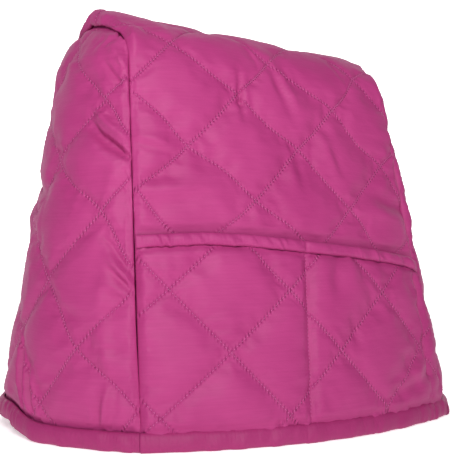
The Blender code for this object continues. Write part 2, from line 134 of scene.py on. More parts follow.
def section(along, up):
    """Across, height and length of the near half's section; along and up run from 0 to 1."""
    bow = 4 * along * (1 - along)
    hem = HEM_WIDTH / 2 + SIDE_BOW[0] * bow
    shoulder = SHOULDER_WIDTH / 2 + SIDE_BOW[1] * bow
    crown = mix(FRONT_CROWN, BACK_CROWN, along)
    rise = mix(FRONT_HEIGHT, BACK_HEIGHT, along) - crown
    side, roof = np.hypot(hem - shoulder, rise), np.hypot(shoulder, crown)
    turn = np.arctan2(rise, hem - shoulder) - np.arctan2(crown, shoulder)
    tangent = SHOULDER_RADIUS * np.tan(turn / 2)
    straight = side - tangent
    arc = SHOULDER_RADIUS * turn
    length = straight + arc + roof - tangent
    run = up * length
    steep, shallow = rise / side, (hem - shoulder) / side
    angle = np.clip((run - straight) / SHOULDER_RADIUS, 0, turn)
    on_side = np.minimum(run, straight)
    on_roof = np.maximum(run - straight - arc, 0)
    sweep, drop = np.sin(angle) * SHOULDER_RADIUS, (1 - np.cos(angle)) * SHOULDER_RADIUS
    across = -hem + shallow * (on_side + sweep) + steep * drop + on_roof * shoulder / roof
    height = steep * (on_side + sweep) - shallow * drop + on_roof * crown / roof
    height -= ridge_softening(along) * np.exp(-(across / RIDGE_SOFT_WIDTH) ** 2)
    return across, height, length


HALF_GIRTH = float(section(0.0, 0.0)[2])
GIRTH = 2 * HALF_GIRTH
print("Cloth from hem to hem over the ridge:", round(GIRTH, 3), "m")

# %% [markdown]
# ## From flat cloth to space
# The long panel's flat coordinates are its distance along the hem and its run up the cloth from
# the near hem. An end panel's are its distance across the bowed cloth and its height. The outward
# direction at a point comes from two short steps along the cloth and their cross product.

# %% Seams and directions
STEP = 0.0015
INSIDE = np.array((0, 0, BACK_HEIGHT / 2))


def seams(up):
    """Where the front and back seams lie along the flat cloth, up from 0 at the hem to 1."""
    return FRONT_LEAN * up, HEM_LENGTH - BACK_LEAN * up


def up_side(run):
    """How far up its side a run reaches, from 0 to 1."""
    return 1 - np.abs(run / HALF_GIRTH - 1)


def unit(vectors):
    return vectors / np.linalg.norm(vectors, axis=1, keepdims=True)


def outward(place, first_run, second_run):
    normal = unit(np.cross(first_run, second_run))
    facing = np.sign(np.sum(normal * (place - INSIDE), axis=1, keepdims=True))
    return normal * facing


# %% An end panel's surface
SHARE_SAMPLES, LEVEL_SAMPLES = 33, 400
LEAST_WIDTH = 1e-5  # at the ridge, where the arch closes
SHARE_STEP = 0.02


class EndSurface:
    """An arched end, bowed outwards: flat coordinates are across (near is minus) and height."""

    SHARES = np.linspace(0, 1, SHARE_SAMPLES)

    def __init__(self, along, bow, twist, raised, pulled):
        self.along, self.bow, self.twist = along, bow, twist
        self.raised, self.pulled = raised, pulled
        self.height = mix(FRONT_HEIGHT, BACK_HEIGHT, along) - ridge_softening(along)
        self.ups = np.linspace(0, 1, LEVEL_SAMPLES)
        across, self.levels, _ = section(along, self.ups)
        self.widths = -across
        self.hem_half = float(self.half(0)[0])

    def row(self, z):
        """The seam's place along the cover, half width and bow of the panel at a height."""
        seam = seams(np.interp(z, self.levels, self.ups))[self.along]
        depth = mix(*self.bow, z / self.height) * np.clip((self.height - z) / BOW_FADE, 0, 1)
        return seam, np.maximum(np.interp(z, self.levels, self.widths), LEAST_WIDTH), depth

    def lengths(self, z):
        """Run of cloth from the middle to each of SHARES of the half width."""
        _, width, depth = self.row(z)
        steps = np.hypot(np.diff(self.SHARES) * width[:, None],
                         np.diff(self.SHARES ** BOW_POWER) * depth[:, None])
        return np.pad(np.cumsum(steps, axis=1), ((0, 0), (1, 0)))

    def half(self, z):
        return self.lengths(np.atleast_1d(z))[:, -1]

    def disturbed(self, share, z):
        """Where the hem is pushed up and in, from 0 to 1."""
        spread = ease(share - LIFT_FROM, LIFT_REACH) * (1 - ease(share - FALL_FROM, FALL_REACH))
        return spread * (1 - ease(z, RAISED_TOP))

    def at_share(self, share, z):
        seam, width, depth = self.row(z)
        depth = depth * (1 - np.abs(share) ** BOW_POWER)
        depth = depth + self.twist * (1 - ease(z, TWIST_TOP)) * share * (1 - share ** 2)
        disturbed = self.disturbed(share, z)
        depth = depth - self.pulled * disturbed
        x = seam + (depth if self.along else -depth)
        return np.column_stack((x - ORIGIN_X, width * share, z + self.raised * disturbed))

    def shares(self, flat):
        rows = self.lengths(flat[:, 1])
        found = [np.interp(abs(a), row, self.SHARES) for a, row in zip(flat[:, 0], rows)]
        return np.copysign(found, flat[:, 0])

    def place(self, flat):
        return self.at_share(self.shares(flat), flat[:, 1])

    def out(self, flat):
        share, z = self.shares(flat), flat[:, 1]
        low, high = np.maximum(share - SHARE_STEP, -1), np.minimum(share + SHARE_STEP, 1)
        above, below = np.minimum(z + STEP, self.height), np.maximum(z - STEP, 0)
        return outward(self.at_share(share, z), self.at_share(high, z) - self.at_share(low, z),
                       self.at_share(share, above) - self.at_share(share, below))


front_end = EndSurface(FRONT, FRONT_BOW, FRONT_TWIST, HEM_RAISED, HEM_PULLED)
back_end = EndSurface(BACK, BACK_BOW, 0.0, 0.0, 0.0)
print("Front end, flat width at the hem:", round(2 * front_end.hem_half, 3), "m")

# %% [markdown]
# ## The long panel's surface
# The long panel is the section above, stretched from seam to seam. At the top of the front end
# its seam slips forward, so the roof's cloth rolls over the corner and hangs over the arch
# as a short flap. The roll is rounded by averaging the surface over a few millimetres.

# %% The long panel's surface
FLAP = 0.0150  # how far the seam slips down the arch at the ridge
FLAP_REACH = 0.078  # the slip dies out this far from the ridge
FLAP_LIFT = 0.0036
FLAP_ROLL = 0.0060
SLIP_FADE = 0.060
ROLL_SAMPLES = 7
UP_STEP = 0.01
INWARD_FADE = 0.05  # the flap hangs straight down this near the ridge


def slip(from_ridge):
    return FLAP * np.clip(1 - np.abs(from_ridge) / FLAP_REACH, 0, 1)


def over_front(over, run):
    """Places on the flap, a distance over the front end's seam."""
    up, side = up_side(run), np.where(run > HALF_GIRTH, 1, -1)
    level, below = section(0.0, up)[1], section(0.0, up - UP_STEP)[1]
    half = front_end.half(level)
    inward = np.column_stack((below - level, half - front_end.half(below)))
    inward[:, 0] *= ease(np.abs(run - HALF_GIRTH), INWARD_FADE)
    inward = unit(inward)
    flat = np.column_stack((side * (half + over * inward[:, 0]), level + over * inward[:, 1]))
    lift = FLAP_LIFT * ease(over, FLAP_LIFT)
    return front_end.place(flat) + front_end.out(flat) * lift[:, None]


def unrounded(x, run):
    front, back = seams(up_side(run))
    along = np.maximum(x - front, 0) / (back - front)
    across, height, _ = section(along, up_side(run))
    side = np.where(run > HALF_GIRTH, 1, -1)
    place = np.column_stack((np.maximum(x, front) - ORIGIN_X, side * np.abs(across), height))
    over = (x < front) & (slip(run - HALF_GIRTH) > 0)
    if over.any():
        place[over] = over_front((front - x)[over], run[over])
    return place


def body_place(flat):
    x, run = flat[:, 0], flat[:, 1]
    slipped = slip(run - HALF_GIRTH)
    x = x - slipped * (1 - ease(x - seams(up_side(run))[0], SLIP_FADE))
    place = unrounded(x, run)
    corner = (slipped > 0) & (x < SLIP_FADE)
    if corner.any():
        roll = FLAP_ROLL * slipped[corner] / FLAP
        place[corner] = np.mean([unrounded(x[corner] + turn * roll, run[corner])
                                 for turn in np.linspace(-1, 1, ROLL_SAMPLES)], axis=0)
    return place


def body_out(flat):
    along, up = np.array((STEP, 0)), np.array((0, STEP))
    return outward(body_place(flat), body_place(flat + along) - body_place(flat - along),
                   body_place(flat + up) - body_place(flat - up))


# %% [markdown]
# ## Flat cloth, stitched into diamonds
# Quilting shows as pillows between crossing stitches. A fine grid could be laid square to the
# hem, but then each slanting stitch line would cut across its cells and look like a saw. So the
# grid is laid on the diamonds themselves: one unit of the grid is one diamond, a row of
# points runs along every stitch line, and the rows crowd towards the stitches where the
# cloth bends most. Edit mode's bisect then trims the grid to the panel's outline.

# %% Helpers for objects and points
HAIR = 1e-6  # what lies closer than this is one
MERGE = 1e-5


def only(piece):
    """Select one object alone and make it the active one."""
    bpy.ops.object.select_all(action="DESELECT")
    piece.select_set(True)
    bpy.context.view_layer.objects.active = piece


def points_of(piece):
    values = np.empty(len(piece.data.vertices) * 3)
    piece.data.vertices.foreach_get("co", values)
    return values.reshape(-1, 3)


def move_points(piece, places):
    piece.data.vertices.foreach_set("co", np.ascontiguousarray(places).ravel())
    piece.data.update()


@contextmanager
def editing():
    bpy.ops.object.mode_set(mode="EDIT")
    yield
    bpy.ops.object.mode_set(mode="OBJECT")


def new_grid(name, columns, rows):
    """A flat grid, and its points' shares from 0 to 1 across and up."""
    bpy.ops.mesh.primitive_grid_add(x_subdivisions=columns, y_subdivisions=rows, size=1)
    grid = bpy.context.object
    grid.name = name
    return grid, points_of(grid)[:, :2] + 0.5


def cut(cloth, start, end, keep_outside=False):
    """Cut flat cloth along a line; what lies to the right of the line falls away."""
    run = Vector(end) - Vector(start)
    only(cloth)
    with editing():
        bpy.ops.mesh.select_all(action="SELECT")
        bpy.ops.mesh.bisect(plane_co=(*start, 0), plane_no=(run.y, -run.x, 0), threshold=HAIR,
                            clear_outer=not keep_outside)


# %% The quilting's lattices
MM = 0.001  # pulls, creases and gathers are listed in millimetres
PULL_ROUNDS = 12


class Lattice:
    """Crossing stitch lines: origin is a crossing, two steps across or up reach the next ones.

    Pulls shift the cloth near a place, as hand-guided quilting is never quite regular. Each is
    a place's x and y, a shift in x and y, and a reach, in millimetres.
    """

    def __init__(self, origin, across, up, pulls=()):
        self.origin = np.array(origin)
        self.basis = np.array((np.add(across, up), np.subtract(across, up)))
        self.pulls = MM * np.array(pulls)

    def pulled(self, straight):
        shift = np.zeros_like(straight)
        for pull in self.pulls:
            near = np.exp(-np.sum((straight - pull[:2]) ** 2, axis=1) / pull[4] ** 2)
            shift += near[:, None] * pull[2:4]
        return shift

    def to_flat(self, cells):
        straight = self.origin + cells @ self.basis
        return straight + self.pulled(straight)

    def to_cells(self, flat):
        straight = flat
        for _ in range(PULL_ROUNDS if len(self.pulls) else 0):
            straight = flat - self.pulled(straight)
        return (straight - self.origin) @ np.linalg.inv(self.basis)


BODY_QUILT = Lattice((0.1318, 0.2378), (0.0566, -0.0034), (-0.0063, 0.0505), pulls=(
    (69, 292, -6.4, -4.7, 30), (119, 339, 1.8, 4.8, 30), (132, 238, -3.4, -3.3, 30),
    (182, 285, 3.5, 5.9, 30), (170, 386, -7, -5, 30), (232, 332, 5, 7.8, 30),
    (295, 278, 5.8, 7.5, 30), (283, 379, -7, 4, 30), (19, 245, -4.8, 0, 30),
    (50, 190, -30, -2, 45), (290, 193, -14, 0, 30)))
POCKET_QUILT = Lattice((0.0178, 0.0303), (0.0595, -0.0017), (0.0074, 0.0590))
END_QUILT = Lattice((-0.0175, 0.2729), (0.0555, 0.0), (0.0080, 0.0590), pulls=(
    (-65, 332, -12, -1, 40), (-112, 365, 0, -24, 30), (-81, 214, -11, 7, 45),
    (-97, 96, 9, -4, 40)))
for part, quilt in (("body", BODY_QUILT), ("pocket", POCKET_QUILT), ("end", END_QUILT)):
    sides = np.linalg.norm(quilt.basis, axis=1)
    print("Diamonds of the", part, "have sides of", (sides / MM).round(1), "mm")

# %% A flat grid on a lattice
CELL_STEPS = 26
CROWDING = 0.065
ROLL_CUTS = (0.0009, 0.0022, 0.0040, 0.0068)


def flat_quilt(name, quilt, outline, rolled):
    """A grid on the lattice, trimmed to a counter-clockwise outline.

    The sides numbered in rolled get extra rows of points for a rolled edge.
    """
    corners = quilt.to_cells(np.array(outline))
    low, high = np.floor(corners.min(0)) - 1, np.ceil(corners.max(0)) + 1
    count = (high - low).astype(int)
    cloth, shares = new_grid(name, *(int(cells) * CELL_STEPS for cells in count))
    cells = low + shares * count
    cells -= CROWDING * np.sin(2 * math.pi * cells)
    move_points(cloth, np.pad(quilt.to_flat(cells), ((0, 0), (0, 1))))
    for side, (start, end) in enumerate(zip(outline, outline[1:] + outline[:1])):
        cut(cloth, start, end)
        run = np.subtract(end, start)
        inward = np.array((-run[1], run[0])) / np.hypot(*run)
        for inset in ROLL_CUTS if side in rolled else ():
            cut(cloth, start + inward * inset, end + inward * inset, keep_outside=True)
    return cloth


# %% [markdown]
# ## Relief
# Real quilting is never even: one pillow is fuller than its neighbour, the cloth is gathered a
# little along every seam, and creases fan out from where it is pulled. A plain noise would
# spread the same texture everywhere. Here a seeded unevenness is used for the small gathers, and
# the creases that give this cover its look are listed one by one, in a table for each panel.

# %% Unevenness and pillows
LOFT = 0.0026  # the wadding lifts even the stitch lines this far
PUFF = 0.0026
PUFF_POWER = 0.62
PUFF_CORNERS = 4  # the higher, the sharper the pillows' corners
FULLNESS = (0.74, 1.08)  # of the slackest diamond and of the fullest
FULLNESS_TABLE = 32
SEAM_CALM = 0.0075  # puffs start this far inside a seam
LUMPS_TABLE = 64
BROAD_SLACK, BROAD_PITCH = 0.0010, 0.045
FINE_SLACK, FINE_PITCH, FINE_SLANT = 0.0007, (0.017, 0.024), 0.060


def uneven(first, second, seed):
    """Smooth lumps from -1 to 1, about one to each unit of the two coordinates."""
    table = np.random.default_rng(seed).uniform(-1, 1, (LUMPS_TABLE, LUMPS_TABLE))
    low_i, low_j = np.floor(first), np.floor(second)
    s, t = ease(first - low_i, 1), ease(second - low_j, 1)
    i, j = (low.astype(int) % (LUMPS_TABLE - 1) for low in (low_i, low_j))
    near = mix(table[i, j], table[i + 1, j], s)
    far = mix(table[i, j + 1], table[i + 1, j + 1], s)
    return mix(near, far, t)


def slack(first, second, seed):
    """The soft waves of cloth that is nowhere pulled quite tight, broad ones and slanting ones."""
    slanting = first / FINE_PITCH[0] + second / FINE_SLANT
    return (BROAD_SLACK * uneven(first / BROAD_PITCH, second / BROAD_PITCH, seed)
            + FINE_SLACK * uneven(slanting, second / FINE_PITCH[1], seed + 100))


def pillows(cells, seed):
    """The quilting's swelling, with each diamond a little fuller or slacker than the next."""
    fullness = np.random.default_rng(seed).uniform(*FULLNESS, (FULLNESS_TABLE, FULLNESS_TABLE))
    index = np.floor(cells).astype(int) % FULLNESS_TABLE
    rise = np.abs(np.sin(math.pi * cells)) ** PUFF_POWER + 1e-3
    swelling = np.sum(rise ** -PUFF_CORNERS, axis=1) ** (-1 / PUFF_CORNERS)
    return LOFT + PUFF * fullness[index[:, 0], index[:, 1]] * swelling


# %% Edges, gathers and creases
SEAM_ROLL = 0.0026
SEAM_DIP = 0.0018
HEM_ROLL = 0.4  # share of a seam's roll
STEADY = 0.55  # this share of a gather's depth stays, the rest comes and goes
CREASE_ENDS = 0.25  # a crease's depth at its ends, as a share of its middle's


def rolled_edge(distance):
    """The cloth turns down into a seam, as a quarter of a soft roll."""
    share = np.clip(1 - distance / SEAM_ROLL, 0, 1)
    return SEAM_DIP * (np.sqrt(1 - share ** 2) - 1)


def gathers(along, distance, pitch, reach, depth, seed):
    """Short wrinkles square to a seam that die out away from it; their sizes in millimetres."""
    pitch, reach, depth = MM * pitch, MM * reach, MM * depth
    wrinkle = uneven(along / pitch, distance / (reach * 2), seed)
    slow = STEADY + (1 - STEADY) * uneven(along / (pitch * 7), distance * 0, seed + 1)
    return depth * wrinkle * slow * np.exp(-np.maximum(distance, 0) / reach)


def creases(flat, table):
    """Soft troughs (minus) and ridges: from x and y, to x and y, half width, depth."""
    relief = np.zeros(len(flat))
    for row in table:
        start, run = row[:2], row[2:4] - row[:2]
        half_width, depth = row[4:]
        share = np.clip((flat - start) @ run / (run @ run), 0, 1)
        nearest = start + share[:, None] * run
        off = np.linalg.norm(flat - nearest, axis=1)
        taper = mix(CREASE_ENDS, 1, np.sin(math.pi * share))
        relief += depth * taper * np.exp(-(off / half_width) ** 2)
    return relief


def fading(*distances_and_reaches):
    """1 far inside every edge, and 0 on each of them: distance and reach for each edge."""
    return math.prod(ease(distance, reach) for distance, reach in distances_and_reaches)


# %% [markdown]
# ## A panel of quilting
# A panel is dressed in five steps: lay the flat grid, keep its flat and its diamond coordinates
# as UV maps for the material, move each point to its place in space with its relief, give
# the sheet its inner face, and smooth its shading. The inner face is quilted too, only flatter.
# The pillows could stay as plain formulas, but cloth buckles as it swells. So in the third
# step a short simulation pins every stitch and seam and lets the face between them settle.

# %% Helpers for a panel
def add_uv(piece, name, values):
    layer = piece.data.uv_layers.new(name=name)
    corners = np.empty(len(piece.data.loops), dtype=int)
    piece.data.loops.foreach_get("vertex_index", corners)
    layer.uv.foreach_set("vector", values[corners].ravel())


def face_away(piece, points):
    """Turn all faces over if they look towards the points rather than away from them."""
    facing, middles = (np.array([getattr(face, part)[:] for face in piece.data.polygons])
                       for part in ("normal", "center"))
    if np.mean(np.sum(facing * (middles - points), axis=1)) < 0:
        piece.data.flip_normals()


def thicken(piece, thickness):
    """Solidify copies every point; the copies follow the first ones and make the inner face."""
    only(piece)
    bpy.ops.object.modifier_add(type="SOLIDIFY")
    piece.modifiers[-1].thickness = thickness
    piece.modifiers[-1].offset = -1
    bpy.ops.object.modifier_apply(modifier=piece.modifiers[-1].name)


# %% Let the face cloth settle
SIM_SCALE = 10  # the solver is tuned to cloth a metre or more across
SIM_FRAMES = 12
SPARE_CLOTH = 0.022  # the face cloth is cut this much larger than what it covers
SIM_CAP = 0.0030  # no point settles further than this
CLOTH_SETTINGS = {
    "quality": 4, "mass": 0.2, "tension_stiffness": 20, "compression_stiffness": 20,
    "shear_stiffness": 8, "bending_stiffness": 0.4, "tension_damping": 10, "bending_damping": 1,
    "air_damping": 3, "vertex_group_mass": "held", "shrink_min": -SPARE_CLOTH,
    "use_pressure": True, "uniform_pressure_force": 0.25}


def settle(cloth, held):
    """Let spare face cloth buckle between its stitches; held points stay where they are."""
    start = points_of(cloth)
    move_points(cloth, start * SIM_SCALE)
    group = cloth.vertex_groups.new(name="held")
    group.add([int(i) for i in np.nonzero(held)[0]], 1.0, "REPLACE")
    only(cloth)
    bpy.ops.object.modifier_add(type="CLOTH")
    solver = cloth.modifiers[-1]
    for name, value in CLOTH_SETTINGS.items():
        setattr(solver.settings, name, value)
    solver.settings.effector_weights.gravity = 0
    solver.collision_settings.use_collision = False
    for frame_number in range(1, SIM_FRAMES + 1):
        bpy.context.scene.frame_set(frame_number)
    bpy.ops.object.modifier_apply(modifier=solver.name)
    bpy.context.scene.frame_set(1)
    shift = points_of(cloth) / SIM_SCALE - start
    length = np.linalg.norm(shift, axis=1, keepdims=True)
    print(cloth.name, "settled by up to", round(float(length.max()) * 1000, 1), "mm")
    move_points(cloth, start + shift * np.minimum(1, SIM_CAP / np.maximum(length, 1e-9)))


# %% Dress one panel
SHEET = 0.0028
LINING_SHARE = 0.35
PINNED_CELLS = 0.012  # points this near a stitch line are pinned, in diamonds
PINNED_PUFF = 0.0004  # and so are those that swell less than this


def dress_panel(cloth, quilt, place, out, puffs, folds, held, rise=0.0):
    """Shape flat cloth into a quilted sheet, and keep its flat coordinates.

    The puffs are what the solver works on. The folds are laid over them afterwards.
    """
    flat = points_of(cloth)[:, :2]
    cells = quilt.to_cells(flat)
    add_uv(cloth, "cloth", flat)
    add_uv(cloth, "quilting", cells)
    base, normal = place(flat), out(flat)
    puffed, folded = puffs(flat), folds(flat)
    move_points(cloth, base + normal * puffed[:, None])
    face_away(cloth, INSIDE)
    if SIMULATE:
        to_line = np.abs(cells - np.rint(cells)).min(1)
        settle(cloth, (to_line < PINNED_CELLS) | (puffed < PINNED_PUFF) | held(flat))
    outer = points_of(cloth) + normal * folded[:, None]
    move_points(cloth, outer)
    inner = rise + np.minimum(puffed + folded - rise, 0) - SHEET
    inner -= LINING_SHARE * (pillows(cells, 3) - LOFT)
    thicken(cloth, SHEET)
    move_points(cloth, np.vstack((outer, base + normal * inner[:, None])))
    bpy.ops.object.shade_smooth()
    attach(cloth, "root")
    print(cloth.name, len(cloth.data.polygons), "faces")


def outline_area(outline):
    x, y = np.array(outline).T
    return abs(np.dot(x, np.roll(y, -1)) - np.dot(y, np.roll(x, -1))) / 2


# %% [markdown]
# ## The long panel
# On the real cover this length goes over the ridge in one piece, so its side seams lean in on
# the way up and out again on the way down. That outline is hollow at the ridge, and
# bisect can only keep one side of a straight line, so each half is cut by itself and the two
# are joined along the ridge. Where the pocket covers it the cloth lies flat.

# %% What holds the long panel
CLOTH_FOOT = 0.0120  # the panels end inside the hem binding
TUCK = 0.0034  # beside the pocket's seams the cloth beneath sinks this far
TUCK_REACH = 0.0090
MOUTH_LINE = ((-0.010, 0.2000), (0.070, 0.2028), (0.120, 0.2005),
              (0.180, 0.1952), (0.240, 0.1910), (0.315, 0.1845), (0.400, 0.1680))
MOUTH_DEPTH = 0.0125  # how far the binding reaches down from the mouth
DIVIDER_FOOT_X, DIVIDER_LEAN = 0.158, 0.106
MOUTH_CALM = 0.003  # the long panel lies flat up to this far over the mouth
HELD_SEAM = 0.003  # cloth this near a seam or the hem is held by it
HELD_LINE = 0.002  # and this near the pocket's mouth or its divider


def mouth(x):
    """Where the pocket's mouth lies, up the near side."""
    places, runs = zip(*MOUTH_LINE)
    return np.interp(x, places, runs)


def divider_distance(flat):
    return np.abs(flat[:, 0] - DIVIDER_FOOT_X - DIVIDER_LEAN * flat[:, 1])


class Edges:
    """How far flat points of the long panel or the pocket are from all that holds them."""

    def __init__(self, flat):
        self.x, self.run = flat.T
        front, back = seams(up_side(self.run))
        self.front, self.back = self.x - front, back - self.x
        self.seam = np.minimum(self.front, self.back)
        self.hem = np.minimum(self.run, GIRTH - self.run) - HEM_HEIGHT
        self.over_mouth = np.where(self.run < HALF_GIRTH, self.run - mouth(self.x), 1.0)
        self.below_mouth = mouth(self.x) - MOUTH_DEPTH - self.run
        self.divider = divider_distance(flat)


# %% The long panel's relief
BODY_CREASES = MM * np.array((  # in mm: from x and y, to x and y, half width, depth
    (124, 372, 124, 312, 2.6, -4.8), (133, 368, 130, 330, 3, 2), (160, 384, 183, 318, 4.5, -3),
    (170, 386, 190, 330, 4.5, 2.6), (214, 312, 229, 268, 6, 2.6), (222, 300, 240, 262, 5, -2.4),
    (182, 290, 186, 240, 4.5, -2.4), (172, 286, 174, 248, 5, 2), (268, 252, 340, 238, 10, -5.6),
    (262, 236, 325, 220, 8, 2.8), (12, 366, 40, 400, 6, -3), (8, 384, 30, 418, 5, 2.6),
    (8, 290, 50, 278, 4, -2.8), (8, 298, 44, 287, 4, 2.2), (6, 243, 75, 246, 6, 2.6),
    (10, 257, 60, 259, 5.5, -2), (10, 229, 70, 231, 8, -1.8), (60, 322, 110, 300, 12, 1),
    (90, 580, 140, 640, 9, -2), (230, 620, 290, 660, 9, -1.8), (60, 800, 110, 840, 10, 1.6),
    (200, 790, 260, 770, 10, -1.8)))


def body_puffs(flat):
    edges = Edges(flat)
    calm = fading((edges.seam, SEAM_CALM), (edges.hem, SEAM_CALM))
    return (pillows(BODY_QUILT.to_cells(flat), 3) * calm
            * ease(edges.over_mouth - MOUTH_CALM, SEAM_CALM))


def body_folds(flat):
    edges = Edges(flat)
    free = fading((edges.seam, 0.006), (edges.hem, 0.010), (edges.over_mouth - 0.002, 0.008))
    beside_seams = (gathers(edges.run, edges.front, 8, 12, 2.8, 11)
                    + gathers(edges.run, edges.front, 4.2, 6, 1.8, 12)
                    + gathers(edges.run, edges.back, 12, 14, 4.4, 13))
    above_mouth = gathers(edges.x, np.abs(edges.over_mouth), 11, 7, 2.2, 19)
    tucked = (1 - ease(edges.seam, TUCK_REACH)) * ease(-edges.over_mouth, 0.004)
    return ((slack(edges.x, edges.run, 5) + creases(flat, BODY_CREASES)) * free
            + beside_seams * ease(edges.over_mouth, 0.010)
            + above_mouth * ease(edges.over_mouth, 0.002)
            + gathers(edges.x, edges.hem, 6, 8, 1.4, 17)
            + rolled_edge(edges.seam) + HEM_ROLL * rolled_edge(edges.hem) - TUCK * tucked)


def body_held(flat):
    """The points that seams, the hem and the pocket hold."""
    edges = Edges(flat)
    return (np.minimum(edges.seam, edges.hem) < HELD_SEAM) | (edges.over_mouth < HELD_LINE)


# %% Cut and dress the long panel
def body_outline(foot, side):
    """One half of the long panel, counter-clockwise: foot, back seam, ridge, front seam."""
    lean = foot / HALF_GIRTH
    run = foot if side < 0 else GIRTH - foot
    corners = [(seams(lean)[0], run), (seams(lean)[1], run),
               (seams(1)[1], HALF_GIRTH), (seams(1)[0], HALF_GIRTH)]
    return corners if side < 0 else corners[::-1]


def join(first, second):
    only(first)
    second.select_set(True)
    bpy.ops.object.join()
    with editing():
        bpy.ops.mesh.select_all(action="SELECT")
        bpy.ops.mesh.remove_doubles(threshold=MERGE)
    return bpy.context.object


body_cloth = join(
    flat_quilt("body_cloth", BODY_QUILT, body_outline(CLOTH_FOOT, -1), (1, 3)),
    flat_quilt("far_half", BODY_QUILT, body_outline(CLOTH_FOOT, 1), (0, 2)))
dress_panel(body_cloth, BODY_QUILT, body_place, body_out, body_puffs, body_folds, body_held)
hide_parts("body_panel")

# %% [markdown]
# ## The two ends
# Each end is an arch. Its curved top is cut as a chain of short straight cuts, which is
# how bisect can follow a curve. The near side of the front end is what gives the cover
# its character: it is pulled round towards the long panel, and two deep creases run down to
# the seam. The far side and the back are hidden on a shelf, and get a few calm folds.

# %% The creases of the ends
FRONT_CREASES = MM * np.array((  # in mm: from x and y, to x and y, half width, depth
    (-62, 309, -77, 295.5, 2.6, -6.2), (-72, 299, -99.2, 281.5, 3, -8.4),
    (-92, 286, -113, 271.5, 2.6, -6.6), (-59, 305, -71.1, 294.5, 2.4, -4.8),
    (-68, 297.5, -93.4, 279, 2.8, -7), (-88, 283, -111, 270.5, 2.2, -4),
    (-64, 322, -90, 301, 4, 4.6), (-84, 306, -108, 289, 4, 4.2), (-66, 286, -100, 264, 7, 2.8),
    (-70, 384, -108, 350, 3.6, 3.8), (-82, 383, -108, 364, 2.6, -3.4),
    (-66, 370, -96, 338, 3.2, -3.6), (-64, 348, -84, 328, 5, 3.2), (-74, 396, -96, 380, 3, -4),
    (-56, 395, -46, 382, 3, -1.8), (-68, 393, -62, 380, 3, -1.6), (-138, 150, -104, 180, 3.4, 3.4),
    (-138, 144, -108, 168, 2.8, -3.2), (-139, 138, -108, 154, 3.4, 2.2),
    (-134, 160, -100, 196, 3, -3), (-98, 270, -100, 212, 8, 3.2), (-112, 250, -118, 200, 6, -2),
    (-106, 156, -112, 98, 8, 3.4), (-124, 130, -130, 80, 7, -1.8), (-117, 102, -124, 64, 6, 2.4),
    (-126, 58, -127, 20, 4, 3.6), (-120, 50, -119, 20, 4, -2.8), (-106, 93, -140, 91, 4, -1.8),
    (10, 100, -18, 30, 4.4, 5), (-1, 90, -24, 26, 3.4, -5), (-6, 86, -34, 26, 3.6, 4.6),
    (-22, 70, -41, 24, 3.2, -4.6), (-31, 66, -48, 24, 3.6, 3.8), (64, 252, 0, 238, 10, -6),
    (74, 222, 6, 212, 10, 4), (70, 90, 110, 60, 10, 2)))
BACK_CREASES = MM * np.array((
    (-80, 285, -98, 185, 30, 5), (-108, 150, -122, 50, 24, 1.2), (-100, 240, -60, 205, 6, -2.4),
    (100, 150, 60, 190, 7, 2.2), (20, 30, 10, 80, 6, 2), (-30, 28, -22, 70, 5, -1.8)))

# %% An end's outline and its seam
ARCH_SHARE = 0.87  # the arch turns in above this share of the end's height
EDGE_EASE = 0.016
SEAM_OPEN = 0.0016  # the ends stop this short of the long panel: a dark seam line
NARROW = 0.0045  # creases thinner than this get extra points
NEAR_CREASE = 0.12  # and they get them where the crease's depth is above this share
HEM_CLOSED, SEAM_OPENS = 0.02, 0.10  # the seam line opens from this height, over this far
FLAP_START, FLAP_FADE = 0.36, 0.02


def end_outline(end, foot):
    """Hem, far seam up to the ridge, near seam down."""
    turns = np.radians(np.arange(0, 90, 5))
    start = ARCH_SHARE * end.height
    levels = np.append(foot, start + (end.height - start) * np.sin(turns))
    right = list(zip(end.half(levels), levels))
    left = [(-across, z) for across, z in reversed(right)]
    return right + [(0.0, end.height)] + left


def seam_distance(end, flat):
    """How far a flat point lies inside the panel's seam."""
    levels = end.levels[1:-1:2]
    seam = np.column_stack((end.half(levels), levels))
    beside = np.column_stack((np.abs(flat[:, 0]), flat[:, 1]))
    away = [np.min(np.hypot(*(seam - point).T)) for point in beside]
    return np.array(away) * np.sign(end.half(flat[:, 1]) - beside[:, 0])


def refine(cloth, table):
    """Subdivide flat cloth along its narrow creases, so that they stay crisp."""
    narrow = table[table[:, 4] < NARROW]
    narrow[:, 4:] = np.column_stack((2 * narrow[:, 4], np.ones(len(narrow))))
    middles = np.array([face.center[:2] for face in cloth.data.polygons])
    only(cloth)
    cloth.data.polygons.foreach_set("select", creases(middles, narrow) > NEAR_CREASE)
    with editing():
        bpy.ops.mesh.select_mode(type="FACE")
        bpy.ops.mesh.subdivide(number_cuts=1)


def reach_seam(cloth, end, outline):
    """The seam bulges past the outline's straight cuts: ease the cloth's edge out to meet it."""
    points = points_of(cloth)
    rights, levels = zip(*outline[:len(outline) // 2 + 1])
    straight = np.interp(points[:, 1], levels, rights)
    near_edge = ease(np.abs(points[:, 0]) - straight + EDGE_EASE, EDGE_EASE)
    seam = end.half(points[:, 1]) - SEAM_OPEN * ease(points[:, 1] - HEM_CLOSED, SEAM_OPENS)
    points[:, 0] += np.sign(points[:, 0]) * near_edge * (seam - straight)
    move_points(cloth, points)


